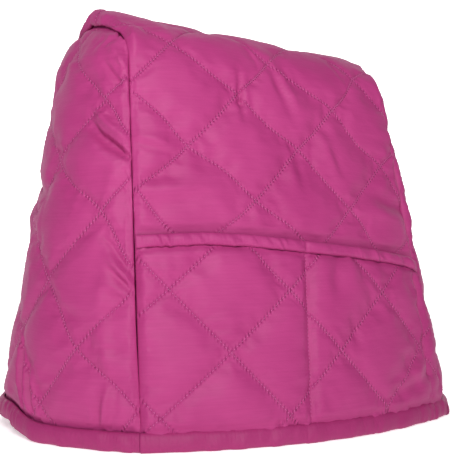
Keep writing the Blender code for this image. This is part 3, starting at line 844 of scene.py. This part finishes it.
# %% Dress the two ends
def make_end(name, end, table, node):
    outline = end_outline(end, CLOTH_FOOT)
    cloth = flat_quilt(name, END_QUILT, outline, (0, len(outline) - 2))
    refine(cloth, table)
    reach_seam(cloth, end, outline)

    def free_edge(flat):
        """Distance from the seam, or from the flap that hangs over it."""
        flap = slip(flat[:, 0]) * ease(flat[:, 1] - FLAP_START, FLAP_FADE)
        return seam_distance(end, flat) - (0 if end.along else flap)

    def puffs(flat):
        calm = ease(free_edge(flat), SEAM_CALM) * ease(flat[:, 1] - HEM_HEIGHT, SEAM_CALM)
        return pillows(END_QUILT.to_cells(flat), 8) * calm

    def folds(flat):
        across, z = flat.T
        edge, above_hem = free_edge(flat), z - HEM_HEIGHT
        lift = slack(across, z, 9) + creases(flat, table)
        lift = lift * fading((edge, 0.004), (above_hem, 0.006))
        lift += gathers(z, edge, 11, 16, 2.2, 21) + gathers(across, above_hem, 6, 9, 2, 23)
        return lift + rolled_edge(edge) + HEM_ROLL * rolled_edge(above_hem)

    def held(flat):
        return np.minimum(seam_distance(end, flat), flat[:, 1] - HEM_HEIGHT) < HELD_SEAM

    dress_panel(cloth, END_QUILT, end.place, end.out, puffs, folds, held)
    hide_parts(node)
    outline_area(end_outline(end, 0))
    return cloth, puffs, folds


front_cloth, front_puffs, front_folds = make_end("front_cloth", front_end, FRONT_CREASES,
                                                 "front_panel")
back_cloth, back_puffs, back_folds = make_end("back_cloth", back_end, BACK_CREASES,
                                              "back_panel")

# %% [markdown]
# ## The pocket
# The pocket is a second length of quilting laid over the near side, with larger diamonds of
# its own, and one stitched line parts it in two. The line is pulled deep into the wadding, so it
# gets its own rows of points and its own soft roll on both sides.

# %% The pocket's relief
POCKET_RISE = SHEET + 0.0012
POCKET_PUFF = 0.92
POCKET_OVERLAP = 0.0012
MOUTH_ROLL, DIVIDER_ROLL = 0.5, 0.9  # shares of a seam's roll
UNDER_BINDING = 0.006  # the pocket's cloth ends this far inside the binding
DIVIDER_CALM = 0.010
POCKET_CREASES = MM * np.array((
    (214, 176, 203, 138, 7, -4.2), (232, 178, 226, 150, 6, 2.6), (247, 176, 243, 156, 4.5, -3),
    (133, 180, 133, 138, 9, -1.2), (120, 178, 118, 160, 4, 0.9), (222, 116, 228, 90, 5, -2.8),
    (264, 44, 328, 60, 6, 3), (270, 34, 334, 46, 6, -2.6), (290, 78, 300, 60, 10, -1.4),
    (20, 62, 40, 50, 6, -1.2)))
LOOSE_LINE = 0.3330  # the pocket is caught down again along here, by its back edge
LOOSE_LEVELS = (0.052, 0.158)
LOOSE_CALM = 0.009
BESIDE_LOOSE = LOOSE_LINE - 0.005
POCKET_LOOSE_EDGE = np.array((  # in metres: the line's groove, where it gapes, and its ridges
    (LOOSE_LINE, 0.050, LOOSE_LINE, 0.160, 0.0008, -0.0060),
    (LOOSE_LINE, 0.156, LOOSE_LINE, 0.146, 0.0013, -0.0060),
    (LOOSE_LINE, 0.118, LOOSE_LINE, 0.100, 0.0011, -0.0060),
    (LOOSE_LINE, 0.084, LOOSE_LINE, 0.076, 0.0011, -0.0050),
    (BESIDE_LOOSE, 0.150, BESIDE_LOOSE, 0.128, 0.0036, 0.0030),
    (BESIDE_LOOSE, 0.116, BESIDE_LOOSE, 0.092, 0.0036, 0.0034),
    (0.346, 0.150, 0.350, 0.060, 0.0060, 0.0012)))


def pocket_puffs(flat):
    edges = Edges(flat)
    calm = fading((edges.seam, SEAM_CALM), (edges.hem, SEAM_CALM),
                  (edges.below_mouth, SEAM_CALM), (edges.divider, DIVIDER_CALM))
    low, high = LOOSE_LEVELS
    past_ends = np.maximum(np.maximum(low - edges.run, edges.run - high), 0)
    calm = calm * ease(np.hypot(edges.x - LOOSE_LINE, past_ends), LOOSE_CALM)
    return POCKET_PUFF * pillows(POCKET_QUILT.to_cells(flat), 30) * calm


def pocket_folds(flat):
    edges = Edges(flat)
    free = fading((edges.seam, 0.005), (edges.hem, 0.008), (edges.divider, 0.008),
                  (edges.below_mouth, 0.004))
    return ((slack(edges.x, edges.run, 31) + creases(flat, POCKET_CREASES)) * free
            + creases(flat, POCKET_LOOSE_EDGE)
            + gathers(edges.run, edges.front, 7, 9, 1.8, 33)
            + gathers(edges.run, edges.back, 5.5, 8, 1.4, 35)
            + gathers(edges.x, edges.hem, 6, 9, 1.8, 37)
            + gathers(edges.x, edges.below_mouth, 7.5, 14, 2.8, 39)
            + gathers(edges.run, edges.divider, 7, 9, 2.2, 41)
            + rolled_edge(edges.seam) + HEM_ROLL * rolled_edge(edges.hem)
            + MOUTH_ROLL * rolled_edge(edges.below_mouth)
            + DIVIDER_ROLL * rolled_edge(edges.divider)
            + POCKET_RISE * ease(edges.seam + POCKET_OVERLAP, TUCK_REACH))


def pocket_held(flat):
    """The points that the seams, the hem, the divider and the mouth binding hold."""
    edges = Edges(flat)
    return ((np.minimum(edges.seam, edges.hem) < HELD_SEAM)
            | (np.minimum(edges.divider, edges.below_mouth) < HELD_LINE))


# %% Cut and dress the pocket
def pocket_outline(foot):
    front, back = seams(foot / HALF_GIRTH)
    front_top = seams(mouth(0) / HALF_GIRTH)[0]
    back_top = seams(mouth(HEM_LENGTH) / HALF_GIRTH)[1]
    places = [front_top] + [x for x, _ in MOUTH_LINE[1:-1]] + [back_top]
    top = [(x, float(mouth(x)) - UNDER_BINDING) for x in reversed(places)]
    return [(front, foot), (back, foot)] + top


pocket_flat = pocket_outline(CLOTH_FOOT)
pocket_cloth = flat_quilt("pocket_cloth", POCKET_QUILT, pocket_flat, (1, len(pocket_flat) - 1))
for offset in (*(-inset for inset in ROLL_CUTS[::-1]), 0, *ROLL_CUTS):
    foot_x = DIVIDER_FOOT_X + offset
    loose_x = LOOSE_LINE + offset / 2
    cut(pocket_cloth, (foot_x, 0), (foot_x + DIVIDER_LEAN, 1), keep_outside=True)
    cut(pocket_cloth, (loose_x, 0), (loose_x, 1), keep_outside=True)
dress_panel(pocket_cloth, POCKET_QUILT, body_place, body_out, pocket_puffs, pocket_folds,
            pocket_held, POCKET_RISE)
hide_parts("pocket_panel")
outline_area(pocket_outline(0))

# %% [markdown]
# ## The bindings
# A binding is a strip of satin folded over the raw edge, so in section it is a deep U around the
# padded quilting. Each strip starts as a flat grid of strip length by strip width. Its points
# are carried round the U, and wrinkles run slanting across it because the strip is cut on
# the bias. A small Solidify then gives the satin its thickness.

# %% How the strips are folded
STRIP_STEP = 0.0013
SATIN = 0.0006
HEM_FOLD = (  # out from the cloth, up from the floor
    (0.0010, 0.0182), (0.0036, 0.0181), (0.0056, 0.0160), (0.0066, 0.0120), (0.0067, 0.0075),
    (0.0060, 0.0035), (0.0044, 0.0010), (0.0020, 0.0001), (-0.0010, 0.0001), (-0.0036, 0.0012),
    (-0.0052, 0.0045), (-0.0056, 0.0100), (-0.0050, 0.0150), (-0.0036, 0.0182))
MOUTH_FOLD = (  # out from the body, down from the mouth
    (0.0044, 0.0128), (0.0066, 0.0124), (0.0080, 0.0102), (0.0084, 0.0070), (0.0078, 0.0035),
    (0.0062, 0.0010), (0.0042, 0.0000), (0.0026, 0.0012), (0.0020, 0.0040), (0.0020, 0.0080),
    (0.0020, 0.0120))
FOLD_POINTS = 22
OUTER_TURN = 1.9  # wrinkles fill a strip's width divided by this: the face outside
WRINKLE_SLANT = 0.45
FINE_WRINKLES, BROAD_WRINKLES = (0.0040, 0.020), (0.0120, 0.030)
BUNCH_PITCH, BUNCHED = 0.045, 0.45
HEM_WRINKLE, MOUTH_WRINKLE = 0.0015, 0.0017


def even_fold(fold):
    """The same fold as evenly spaced points along the strip's width."""
    fold = np.array(fold)
    runs = np.append(0, np.cumsum(np.hypot(*np.diff(fold, axis=0).T)))
    even = np.linspace(0, runs[-1], FOLD_POINTS)
    return np.column_stack([np.interp(even, runs, column) for column in fold.T]), runs[-1]


def strip_wrinkles(along, across, depth, seed):
    """Slanting bias wrinkles, bunched in some places and absent in others."""
    slant = along + WRINKLE_SLANT * across
    fine, broad = (uneven(slant / pitch, across / reach, seed + turn)
                   for turn, (pitch, reach) in enumerate((FINE_WRINKLES, BROAD_WRINKLES)))
    bunched = ease(uneven(along / BUNCH_PITCH, along * 0, seed + 2) + BUNCHED, 1.0)
    return depth * (fine * bunched + broad)


# %% Fold a strip round an edge
def make_strip(name, length, fold, place, wrinkle_depth, seed):
    """A strip of binding; place turns (share along, out, level) into points in space."""
    section_points, width = even_fold(fold)
    strip, shares = new_grid(name, int(length / STRIP_STEP), FOLD_POINTS - 1)
    share, around = shares.T
    index = np.rint(around * (FOLD_POINTS - 1)).astype(int)
    spot = section_points[index]
    middle = section_points.mean(0)
    away = unit(spot - middle)
    free = np.sin(math.pi * np.clip(around * OUTER_TURN, 0, 1)) ** 0.5
    relief = strip_wrinkles(share * length, around * width, wrinkle_depth, seed) * free
    add_uv(strip, "cloth", np.column_stack((share * length, around * width)))
    move_points(strip, place(share, *(spot + relief[:, None] * away).T))
    core = place(share, *np.tile(middle, (len(share), 1)).T)
    face_away(strip, core[[face.vertices[0] for face in strip.data.polygons]])
    thicken(strip, SATIN)
    bpy.ops.object.shade_smooth()
    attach(strip, "root")
    print(name, "strip", round(length, 3), "by", round(width, 3), "m")
    return strip, width


# %% [markdown]
# ## The hem
# The hem binding is made of four strips that meet at the seams. Its section stays upright all the
# way round, so a station needs only the cloth's line at each height and a level direction out.
# At a corner both neighbours use the mitre of their directions, and so they meet.

# %% Spots beside the hem
HEM_GAP = 0.0002
ON_FLOOR = 0.0002  # the wrinkles don't dip through the floor


def level_unit(vectors):
    return unit(vectors * np.array((1, 1, 0)))


def side_directions(share, far):
    foot = GIRTH if far else 0.0
    return level_unit(body_out(np.column_stack((share * HEM_LENGTH, share * 0 + foot))))


def end_directions(end, share):
    across = share * end.hem_half
    return level_unit(end.out(np.column_stack((across, across * 0))))


def off_cloth(cloth, directions, share, neighbours, out, height):
    """Spots beside the cloth; a strip's first and last direction are mitred with a neighbour's."""
    for index, other in zip((share < HAIR, share > 1 - HAIR), neighbours):
        here = directions[index][:1]
        directions[index] = (here + other) / (1 + np.sum(here * other))
    spot = cloth + directions * out[:, None]
    spot[:, 2] = np.maximum(height, ON_FLOOR)
    return spot


def side_place(far):
    """Places on the near or far strip, from its share along, out and height."""
    def place(share, out, height):
        front, back = seams(np.clip(height, 0, None) / HALF_GIRTH)
        x = mix(front + HEM_GAP, back - HEM_GAP, share)
        run = GIRTH - height if far else height
        cloth = body_place(np.column_stack((x, run)))
        corner = np.array([1.0 if far else -1.0])
        neighbours = [end_directions(end, corner) for end in (front_end, back_end)]
        return off_cloth(cloth, side_directions(share, far), share, neighbours, out, height)
    return place


def end_place(end):
    """Places on a front or back strip; the share runs from the near corner to the far one."""
    def place(share, out, height):
        z = np.clip(height, 0, None)
        across = (2 * share - 1) * (end.half(z) - HEM_GAP)
        cloth = end.place(np.column_stack((across, z)))
        corner = np.array([float(end.along)])
        neighbours = [side_directions(corner, far) for far in (False, True)]
        directions = end_directions(end, 2 * share - 1)
        spot = off_cloth(cloth, directions, share, neighbours, out, height)
        spot[:, 2] += end.raised * end.disturbed(2 * share - 1, z)
        return spot
    return place


# %% The hem's four strips
hem_strips = {
    "near": (HEM_LENGTH, side_place(False), 51),
    "far": (HEM_LENGTH, side_place(True), 54),
    "front": (2 * front_end.hem_half, end_place(front_end), 57),
    "back": (2 * back_end.hem_half, end_place(back_end), 60),
}
for side, (length, place, seed) in hem_strips.items():
    strip, width = make_strip("hem_cloth_" + side, length, HEM_FOLD, place, HEM_WRINKLE, seed)
    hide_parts("hem_binding_" + side)

# %% [markdown]
# ## The binding over the pocket's mouth
# A second strip of binding is folded over the pocket's open edge. It could be laid on the body
# as a flat band, but the real one stands a little clear of the body and is pressed down where
# the side seams and the divider hold it. Its section therefore grows thinner at those places.

# %% The binding over the pocket's mouth
MOUTH_LENGTH = HEM_LENGTH * 0.95
MOUTH_GAP = 0.0004  # between the binding's ends and the side seams
MOUTH_BACK = 0.0012  # the binding's back, which is not pressed down further
PRESSED, PRESSED_REACH = 0.45, 0.012  # share of its thickness left at the seams
DIVIDER_PRESS, DIVIDER_WIDTH = 0.30, 0.0018


def mouth_place(share, out, drop):
    front = seams(mouth(0) / HALF_GIRTH)[0] + MOUTH_GAP
    back = seams(mouth(HEM_LENGTH) / HALF_GIRTH)[1] - MOUTH_GAP
    x = mix(front, back, share)
    flat = np.column_stack((x, mouth(x) - drop))
    thickness = mix(PRESSED, 1, ease(np.minimum(x - front, back - x), PRESSED_REACH))
    thickness *= 1 - DIVIDER_PRESS * np.exp(-(divider_distance(flat) / DIVIDER_WIDTH) ** 2)
    lift = MOUTH_BACK + (out - MOUTH_BACK) * thickness
    return body_place(flat) + body_out(flat) * lift[:, None]


mouth_cloth, width = make_strip("mouth_cloth", MOUTH_LENGTH, MOUTH_FOLD, mouth_place,
                                MOUTH_WRINKLE, 70)
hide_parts("pocket_binding")

# %% [markdown]
# ## Stitches
# The quilting thread is a pair of strands locked through the cloth every few millimetres, and
# what shows is a row of short raised dashes in each groove. They could be painted into the
# colour, but real dashes catch the light as the thread does. One dash is modelled from a
# low icosphere, and an array of places turns it into one joined mesh for each panel.

# %% Lay stitches along the grooves
STITCH_PITCH = 0.0036
STITCH_SIZE = (0.00115, 0.00038, 0.00032)  # half length, half width, half height
STITCH_LIFT = 0.0003
STAGGER = 0.37  # neighbouring rows don't begin side by side


def stitch_rows(quilt, low, high):
    """Flat points along every stitch line of a lattice, with each line's direction."""
    spots, runs = [], []
    corners = quilt.to_cells(np.array([(x, y) for x in (low[0], high[0])
                                       for y in (low[1], high[1])]))
    least, most = corners.min(0), corners.max(0)
    for axis, other in ((0, 1), (1, 0)):
        length = np.linalg.norm(quilt.basis[other])
        step = STITCH_PITCH / length
        along = np.arange(least[other], most[other], step)
        for line in np.arange(math.ceil(least[axis]), math.floor(most[axis]) + 1):
            cells = np.empty((len(along), 2))
            cells[:, axis] = line
            cells[:, other] = along + STAGGER * line * step
            spots.append(quilt.to_flat(cells))
            runs.append(np.tile(quilt.basis[other] / length, (len(along), 1)))
    return np.vstack(spots), np.vstack(runs)


# %% Make one mesh of stitches
def sew(name, spots, runs, place, out, puffs, folds):
    """One mesh of dashes at the flat spots, turned along their runs and lifted on the cloth."""
    def surface(flat):
        return place(flat) + out(flat) * (puffs(flat) + folds(flat))[:, None]

    bpy.ops.mesh.primitive_ico_sphere_add(subdivisions=1, radius=1)
    dash = bpy.context.object
    shape = points_of(dash) * np.array(STITCH_SIZE)
    faces = np.array([face.vertices[:] for face in dash.data.polygons])
    bpy.data.objects.remove(dash)
    spot, normal = surface(spots), out(spots)
    ahead = unit(surface(spots + runs * MM) - spot)
    axes = (ahead, np.cross(normal, ahead), normal)
    centre = spot + normal * STITCH_LIFT
    points = centre[:, None] + sum(shape[None, :, i, None] * axis[:, None]
                                   for i, axis in enumerate(axes))
    starts = np.arange(len(spots)) * len(shape)
    all_faces = faces[None] + starts[:, None, None]
    mesh = bpy.data.meshes.new(name)
    mesh.from_pydata(points.reshape(-1, 3), [], all_faces.reshape(-1, 3))
    stitches = bpy.data.objects.new(name, mesh)
    bpy.context.scene.collection.objects.link(stitches)
    mesh.shade_smooth()
    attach(stitches, "root")
    print(name, len(spots), "stitches")
    return stitches


# %% Stitch all four panels
SEAM_CLEAR = 0.0035
POCKET_TOP, DIVIDER_TOP = 0.21, 0.188
spots, runs = stitch_rows(BODY_QUILT, (0, 0), (HEM_LENGTH, GIRTH))
edges = Edges(spots)
kept = (np.minimum(edges.seam, edges.hem) > SEAM_CLEAR) & (edges.over_mouth > 0)
all_stitches = [sew("body_stitches", spots[kept], runs[kept],
                    body_place, body_out, body_puffs, body_folds)]

spots, runs = stitch_rows(POCKET_QUILT, (0, 0), (HEM_LENGTH, POCKET_TOP))
divider_runs = np.arange(HEM_HEIGHT + HELD_SEAM, DIVIDER_TOP, STITCH_PITCH)
divider = np.column_stack((DIVIDER_FOOT_X + DIVIDER_LEAN * divider_runs, divider_runs))
lean = np.array((DIVIDER_LEAN, 1)) / math.hypot(DIVIDER_LEAN, 1)
spots, runs = np.vstack((spots, divider)), np.vstack((runs, np.tile(lean, (len(divider), 1))))
edges = Edges(spots)
kept = (np.minimum(edges.seam, edges.hem) > SEAM_CLEAR) & (edges.below_mouth > HELD_LINE)
all_stitches.append(sew("pocket_stitches", spots[kept], runs[kept],
                        body_place, body_out, pocket_puffs, pocket_folds))

for name, end, puffs, folds in (("front_stitches", front_end, front_puffs, front_folds),
                                ("back_stitches", back_end, back_puffs, back_folds)):
    spots, runs = stitch_rows(END_QUILT, (-end.hem_half, 0), (end.hem_half, end.height))
    inside = np.minimum(spots[:, 1] - HEM_HEIGHT, end.height - spots[:, 1])
    kept = np.minimum(inside, seam_distance(end, spots)) > SEAM_CLEAR
    all_stitches.append(sew(name, spots[kept], runs[kept], end.place, end.out, puffs, folds))

# %% [markdown]
# ## Satin-faced polyester
# The cover's face is a tightly woven polyester with a soft satin shine, the same outside and in.
# What that gives the eye is a saturated colour, broad pale gleams along every fold, and a fine
# weave up close. The quilting's UV map has whole numbers on the stitches, so the material can
# find the nearest stitch line and pull small puckers out of it at the stitches' own spacing.

# %% Helpers for materials
def linear(colour):
    """An sRGB hex colour as linear red, green, blue and alpha."""
    parts = [int(colour[i:i + 2], 16) / 255 for i in (1, 3, 5)]
    return [p / 12.92 if p <= 0.04045 else ((p + 0.055) / 1.055) ** 2.4 for p in parts] + [1.0]


def add_node(tree, kind, inputs=None, **settings):
    """Add a node with its settings; inputs are values, or nodes and sockets to link from."""
    node = tree.nodes.new("ShaderNode" + kind)
    for name, value in settings.items():
        setattr(node, name, value)
    for key, value in (inputs or {}).items():
        if isinstance(value, bpy.types.Node):
            value = value.outputs[0]
        if isinstance(value, bpy.types.NodeSocket):
            tree.links.new(value, node.inputs[key])
        else:
            node.inputs[key].default_value = value
    return node


def add_math(tree, operation, *values):
    return add_node(tree, "Math", dict(enumerate(values)), operation=operation)


def new_material(name, **constants):
    """A material whose shader has the given constants on its own sockets."""
    material = bpy.data.materials.new(name)
    material.use_nodes = True
    shader = material.node_tree.nodes["Principled BSDF"]
    for socket, value in constants.items():
        shader.inputs[socket.replace("_", " ")].default_value = value
    return material


# %% Woven satin
THREAD = 0.0009  # real threads are 0.15 mm; drawn this coarse so that they show
PUCKERS_A_SIDE = float(np.linalg.norm(BODY_QUILT.basis[0])) / STITCH_PITCH
QUILTED_WRINKLES = {"turn": 0, "stretch": (70, 150, 1), "Distortion": 0.8, "Strength": 0.35}
BINDING_WRINKLES = {"turn": -28, "stretch": (420, 70, 1), "Distortion": 0.2, "Strength": 0.8}


def satin(name, deep, pale, wrinkled, quilted=False):
    """Woven satin: cloudy colour, a fine weave and soft wrinkles, with puckers where quilted."""
    material = new_material(name, Roughness=0.57, Specular_IOR_Level=0.28)
    tree = material.node_tree
    shader = tree.nodes["Principled BSDF"]
    cloth = add_node(tree, "UVMap", uv_map="cloth")
    clouds = add_node(tree, "TexNoise", {"Vector": cloth, "Scale": 14.0, "Detail": 3.0})
    long_ways = add_node(tree, "Mapping", {"Vector": cloth, "Scale": (30, 600, 1)})
    slubs = add_node(tree, "TexNoise", {"Vector": long_ways, "Scale": 1.0, "Detail": 2.0})
    uneven_dye = add_math(tree, "MULTIPLY_ADD", slubs, 0.7, clouds)
    share = add_math(tree, "SUBTRACT", uneven_dye, 0.35)
    colour = add_node(tree, "MixRGB", {"Fac": share, "Color1": linear(deep),
                                       "Color2": linear(pale)})
    tree.links.new(colour.outputs["Color"], shader.inputs["Base Color"])
    warp, weft = (add_node(tree, "TexWave", {"Vector": cloth, "Scale": 0.5 / THREAD,
                                             "Distortion": 0.6}, bands_direction=way)
                  for way in "XY")
    weave = add_math(tree, "MAXIMUM", warp.outputs["Fac"], weft.outputs["Fac"])
    woven = add_node(tree, "Bump", {"Height": weave, "Strength": 0.5, "Distance": 0.00006})
    slanted = add_node(tree, "Mapping", {
        "Vector": cloth, "Scale": wrinkled["stretch"],
        "Rotation": (0, 0, math.radians(wrinkled["turn"]))})
    wrinkles = add_node(tree, "TexNoise", {"Vector": slanted, "Scale": 1.0, "Detail": 2.0,
                                           "Distortion": wrinkled["Distortion"]})
    bump = add_node(tree, "Bump", {"Height": wrinkles, "Strength": wrinkled["Strength"],
                                   "Distance": 0.0007, "Normal": woven})
    if quilted:
        bump = pucker_bump(tree, bump)
    tree.links.new(bump.outputs["Normal"], shader.inputs["Normal"])
    return material


# %% Puckers beside the stitches
def pucker_bump(tree, under):
    """Small puckers beside each stitch, one to a stitch, from the quilting's UV map."""
    cells = add_node(tree, "UVMap", uv_map="quilting")
    parts = add_node(tree, "SeparateXYZ", {"Vector": cells})
    heights = []
    for across, along in ((parts.outputs[0], parts.outputs[1]),
                          (parts.outputs[1], parts.outputs[0])):
        middle = add_math(tree, "ABSOLUTE", add_math(
            tree, "SUBTRACT", add_math(tree, "PINGPONG", across, 1.0), 0.5))
        near = add_node(tree, "MapRange", {"Value": middle, "From Min": 0.462, "From Max": 0.5,
                                           "To Min": 0.0, "To Max": 1.0},
                        interpolation_type="SMOOTHSTEP")
        slanted = add_math(tree, "MULTIPLY_ADD", across, 0.5, along)
        turns = add_math(tree, "MULTIPLY", slanted, 2 * math.pi * PUCKERS_A_SIDE)
        heights.append(add_math(tree, "MULTIPLY", near, add_math(tree, "SINE", turns)))
    return add_node(tree, "Bump", {"Height": add_math(tree, "ADD", *heights), "Strength": 0.8,
                                   "Distance": 0.0008, "Normal": under})


# %% The four materials
quilted_satin = satin("quilted_satin_polyester", "#9E2A6A", "#B23C7B", QUILTED_WRINKLES, True)
# The hem binding's colours are a darker copy of the quilting's. This is painted shade, because the
# hem gets less light low down by the floor.
shaded_hem_satin = satin("bias_binding_satin_painted_shade", "#982863", "#A02F6B", BINDING_WRINKLES)
facing_satin = satin("mouth_binding_satin", "#9E2A6A", "#B23C7B", BINDING_WRINKLES)
thread = new_material("polyester_thread", Roughness=0.38, Specular_IOR_Level=0.5,
                      Base_Color=linear("#C45E98"))
print("A stitch every", STITCH_PITCH, "m makes", round(PUCKERS_A_SIDE, 1), "puckers a diamond")

# %% Put the materials on the pieces
def paint(piece, material):
    piece.data.materials.clear()
    piece.data.materials.append(material)


hem_cloths = [bpy.data.objects["hem_cloth_" + side] for side in hem_strips]
for pieces, material in (((body_cloth, front_cloth, back_cloth, pocket_cloth), quilted_satin),
                         (hem_cloths, shaded_hem_satin), ([mouth_cloth], facing_satin),
                         (all_stitches, thread)):
    for piece in pieces:
        paint(piece, material)
    print(material.name, "on", ", ".join(piece.name for piece in pieces))

# %% [markdown]
# ## Floor, light and camera
# The cover stands on a plain white floor in front of a lit white wall. One large soft lamp to the
# left of the camera gives the satin its broad gleams and lets the cover turn darker towards its
# back, and a dim white sky fills the shadows. The camera stands low, as if at the worktop.

# %% The stage
WHITE = linear("#FFFFFF")
bpy.ops.mesh.primitive_circle_add(vertices=64, radius=12, fill_type="NGON")
floor = bpy.context.object
floor.name = "white_floor"
paint(floor, new_material("white_card", Roughness=0.9, Emission_Strength=0.50,
                          Base_Color=WHITE, Emission_Color=WHITE))

bpy.ops.mesh.primitive_plane_add(size=9, location=(1.7, 3.2, 2.0),
                                 rotation=(math.pi / 2, 0, math.radians(-30)))
light_wall = bpy.context.object
light_wall.name = "light_wall"
paint(light_wall, new_material("lit_white_wall", Roughness=1.0, Emission_Strength=1.0,
                               Base_Color=WHITE, Emission_Color=WHITE))

world = bpy.data.worlds.new("white_sky")
world.use_nodes = True
sky = world.node_tree.nodes["Background"]
sky.inputs["Color"].default_value = WHITE
sky.inputs["Strength"].default_value = 0.16
bpy.context.scene.world = world
bpy.context.scene.view_settings.view_transform = "Standard"

# %% Lamps and camera
KEY_PLACE = Vector((-0.75, -1.25, 0.95))
COVER_MIDDLE = Vector((0.0, 0.0, 0.2))
CAMERA_PLACE = (-0.5277, -0.9203, 0.1945)
CAMERA_TOWARDS = Vector((0.5036, 0.8639, 0.0049))


def set_up(name, settings, place, towards):
    """Put a lamp or a camera in its place, looking along a direction."""
    holder = bpy.data.objects.new(name, settings)
    bpy.context.scene.collection.objects.link(holder)
    holder.location = place
    holder.rotation_euler = towards.to_track_quat("-Z", "Y").to_euler()
    return holder


lamp = bpy.data.lights.new("key_lamp", "AREA")
lamp.size = 0.5
lamp.energy = 20
set_up("key_lamp", lamp, KEY_PLACE, COVER_MIDDLE - KEY_PLACE)
print("The lamp stands", round((COVER_MIDDLE - KEY_PLACE).length, 2), "m from the cover")

lens = bpy.data.cameras.new("camera")
lens.lens = 71.5
bpy.context.scene.camera = set_up("camera", lens, CAMERA_PLACE, CAMERA_TOWARDS)
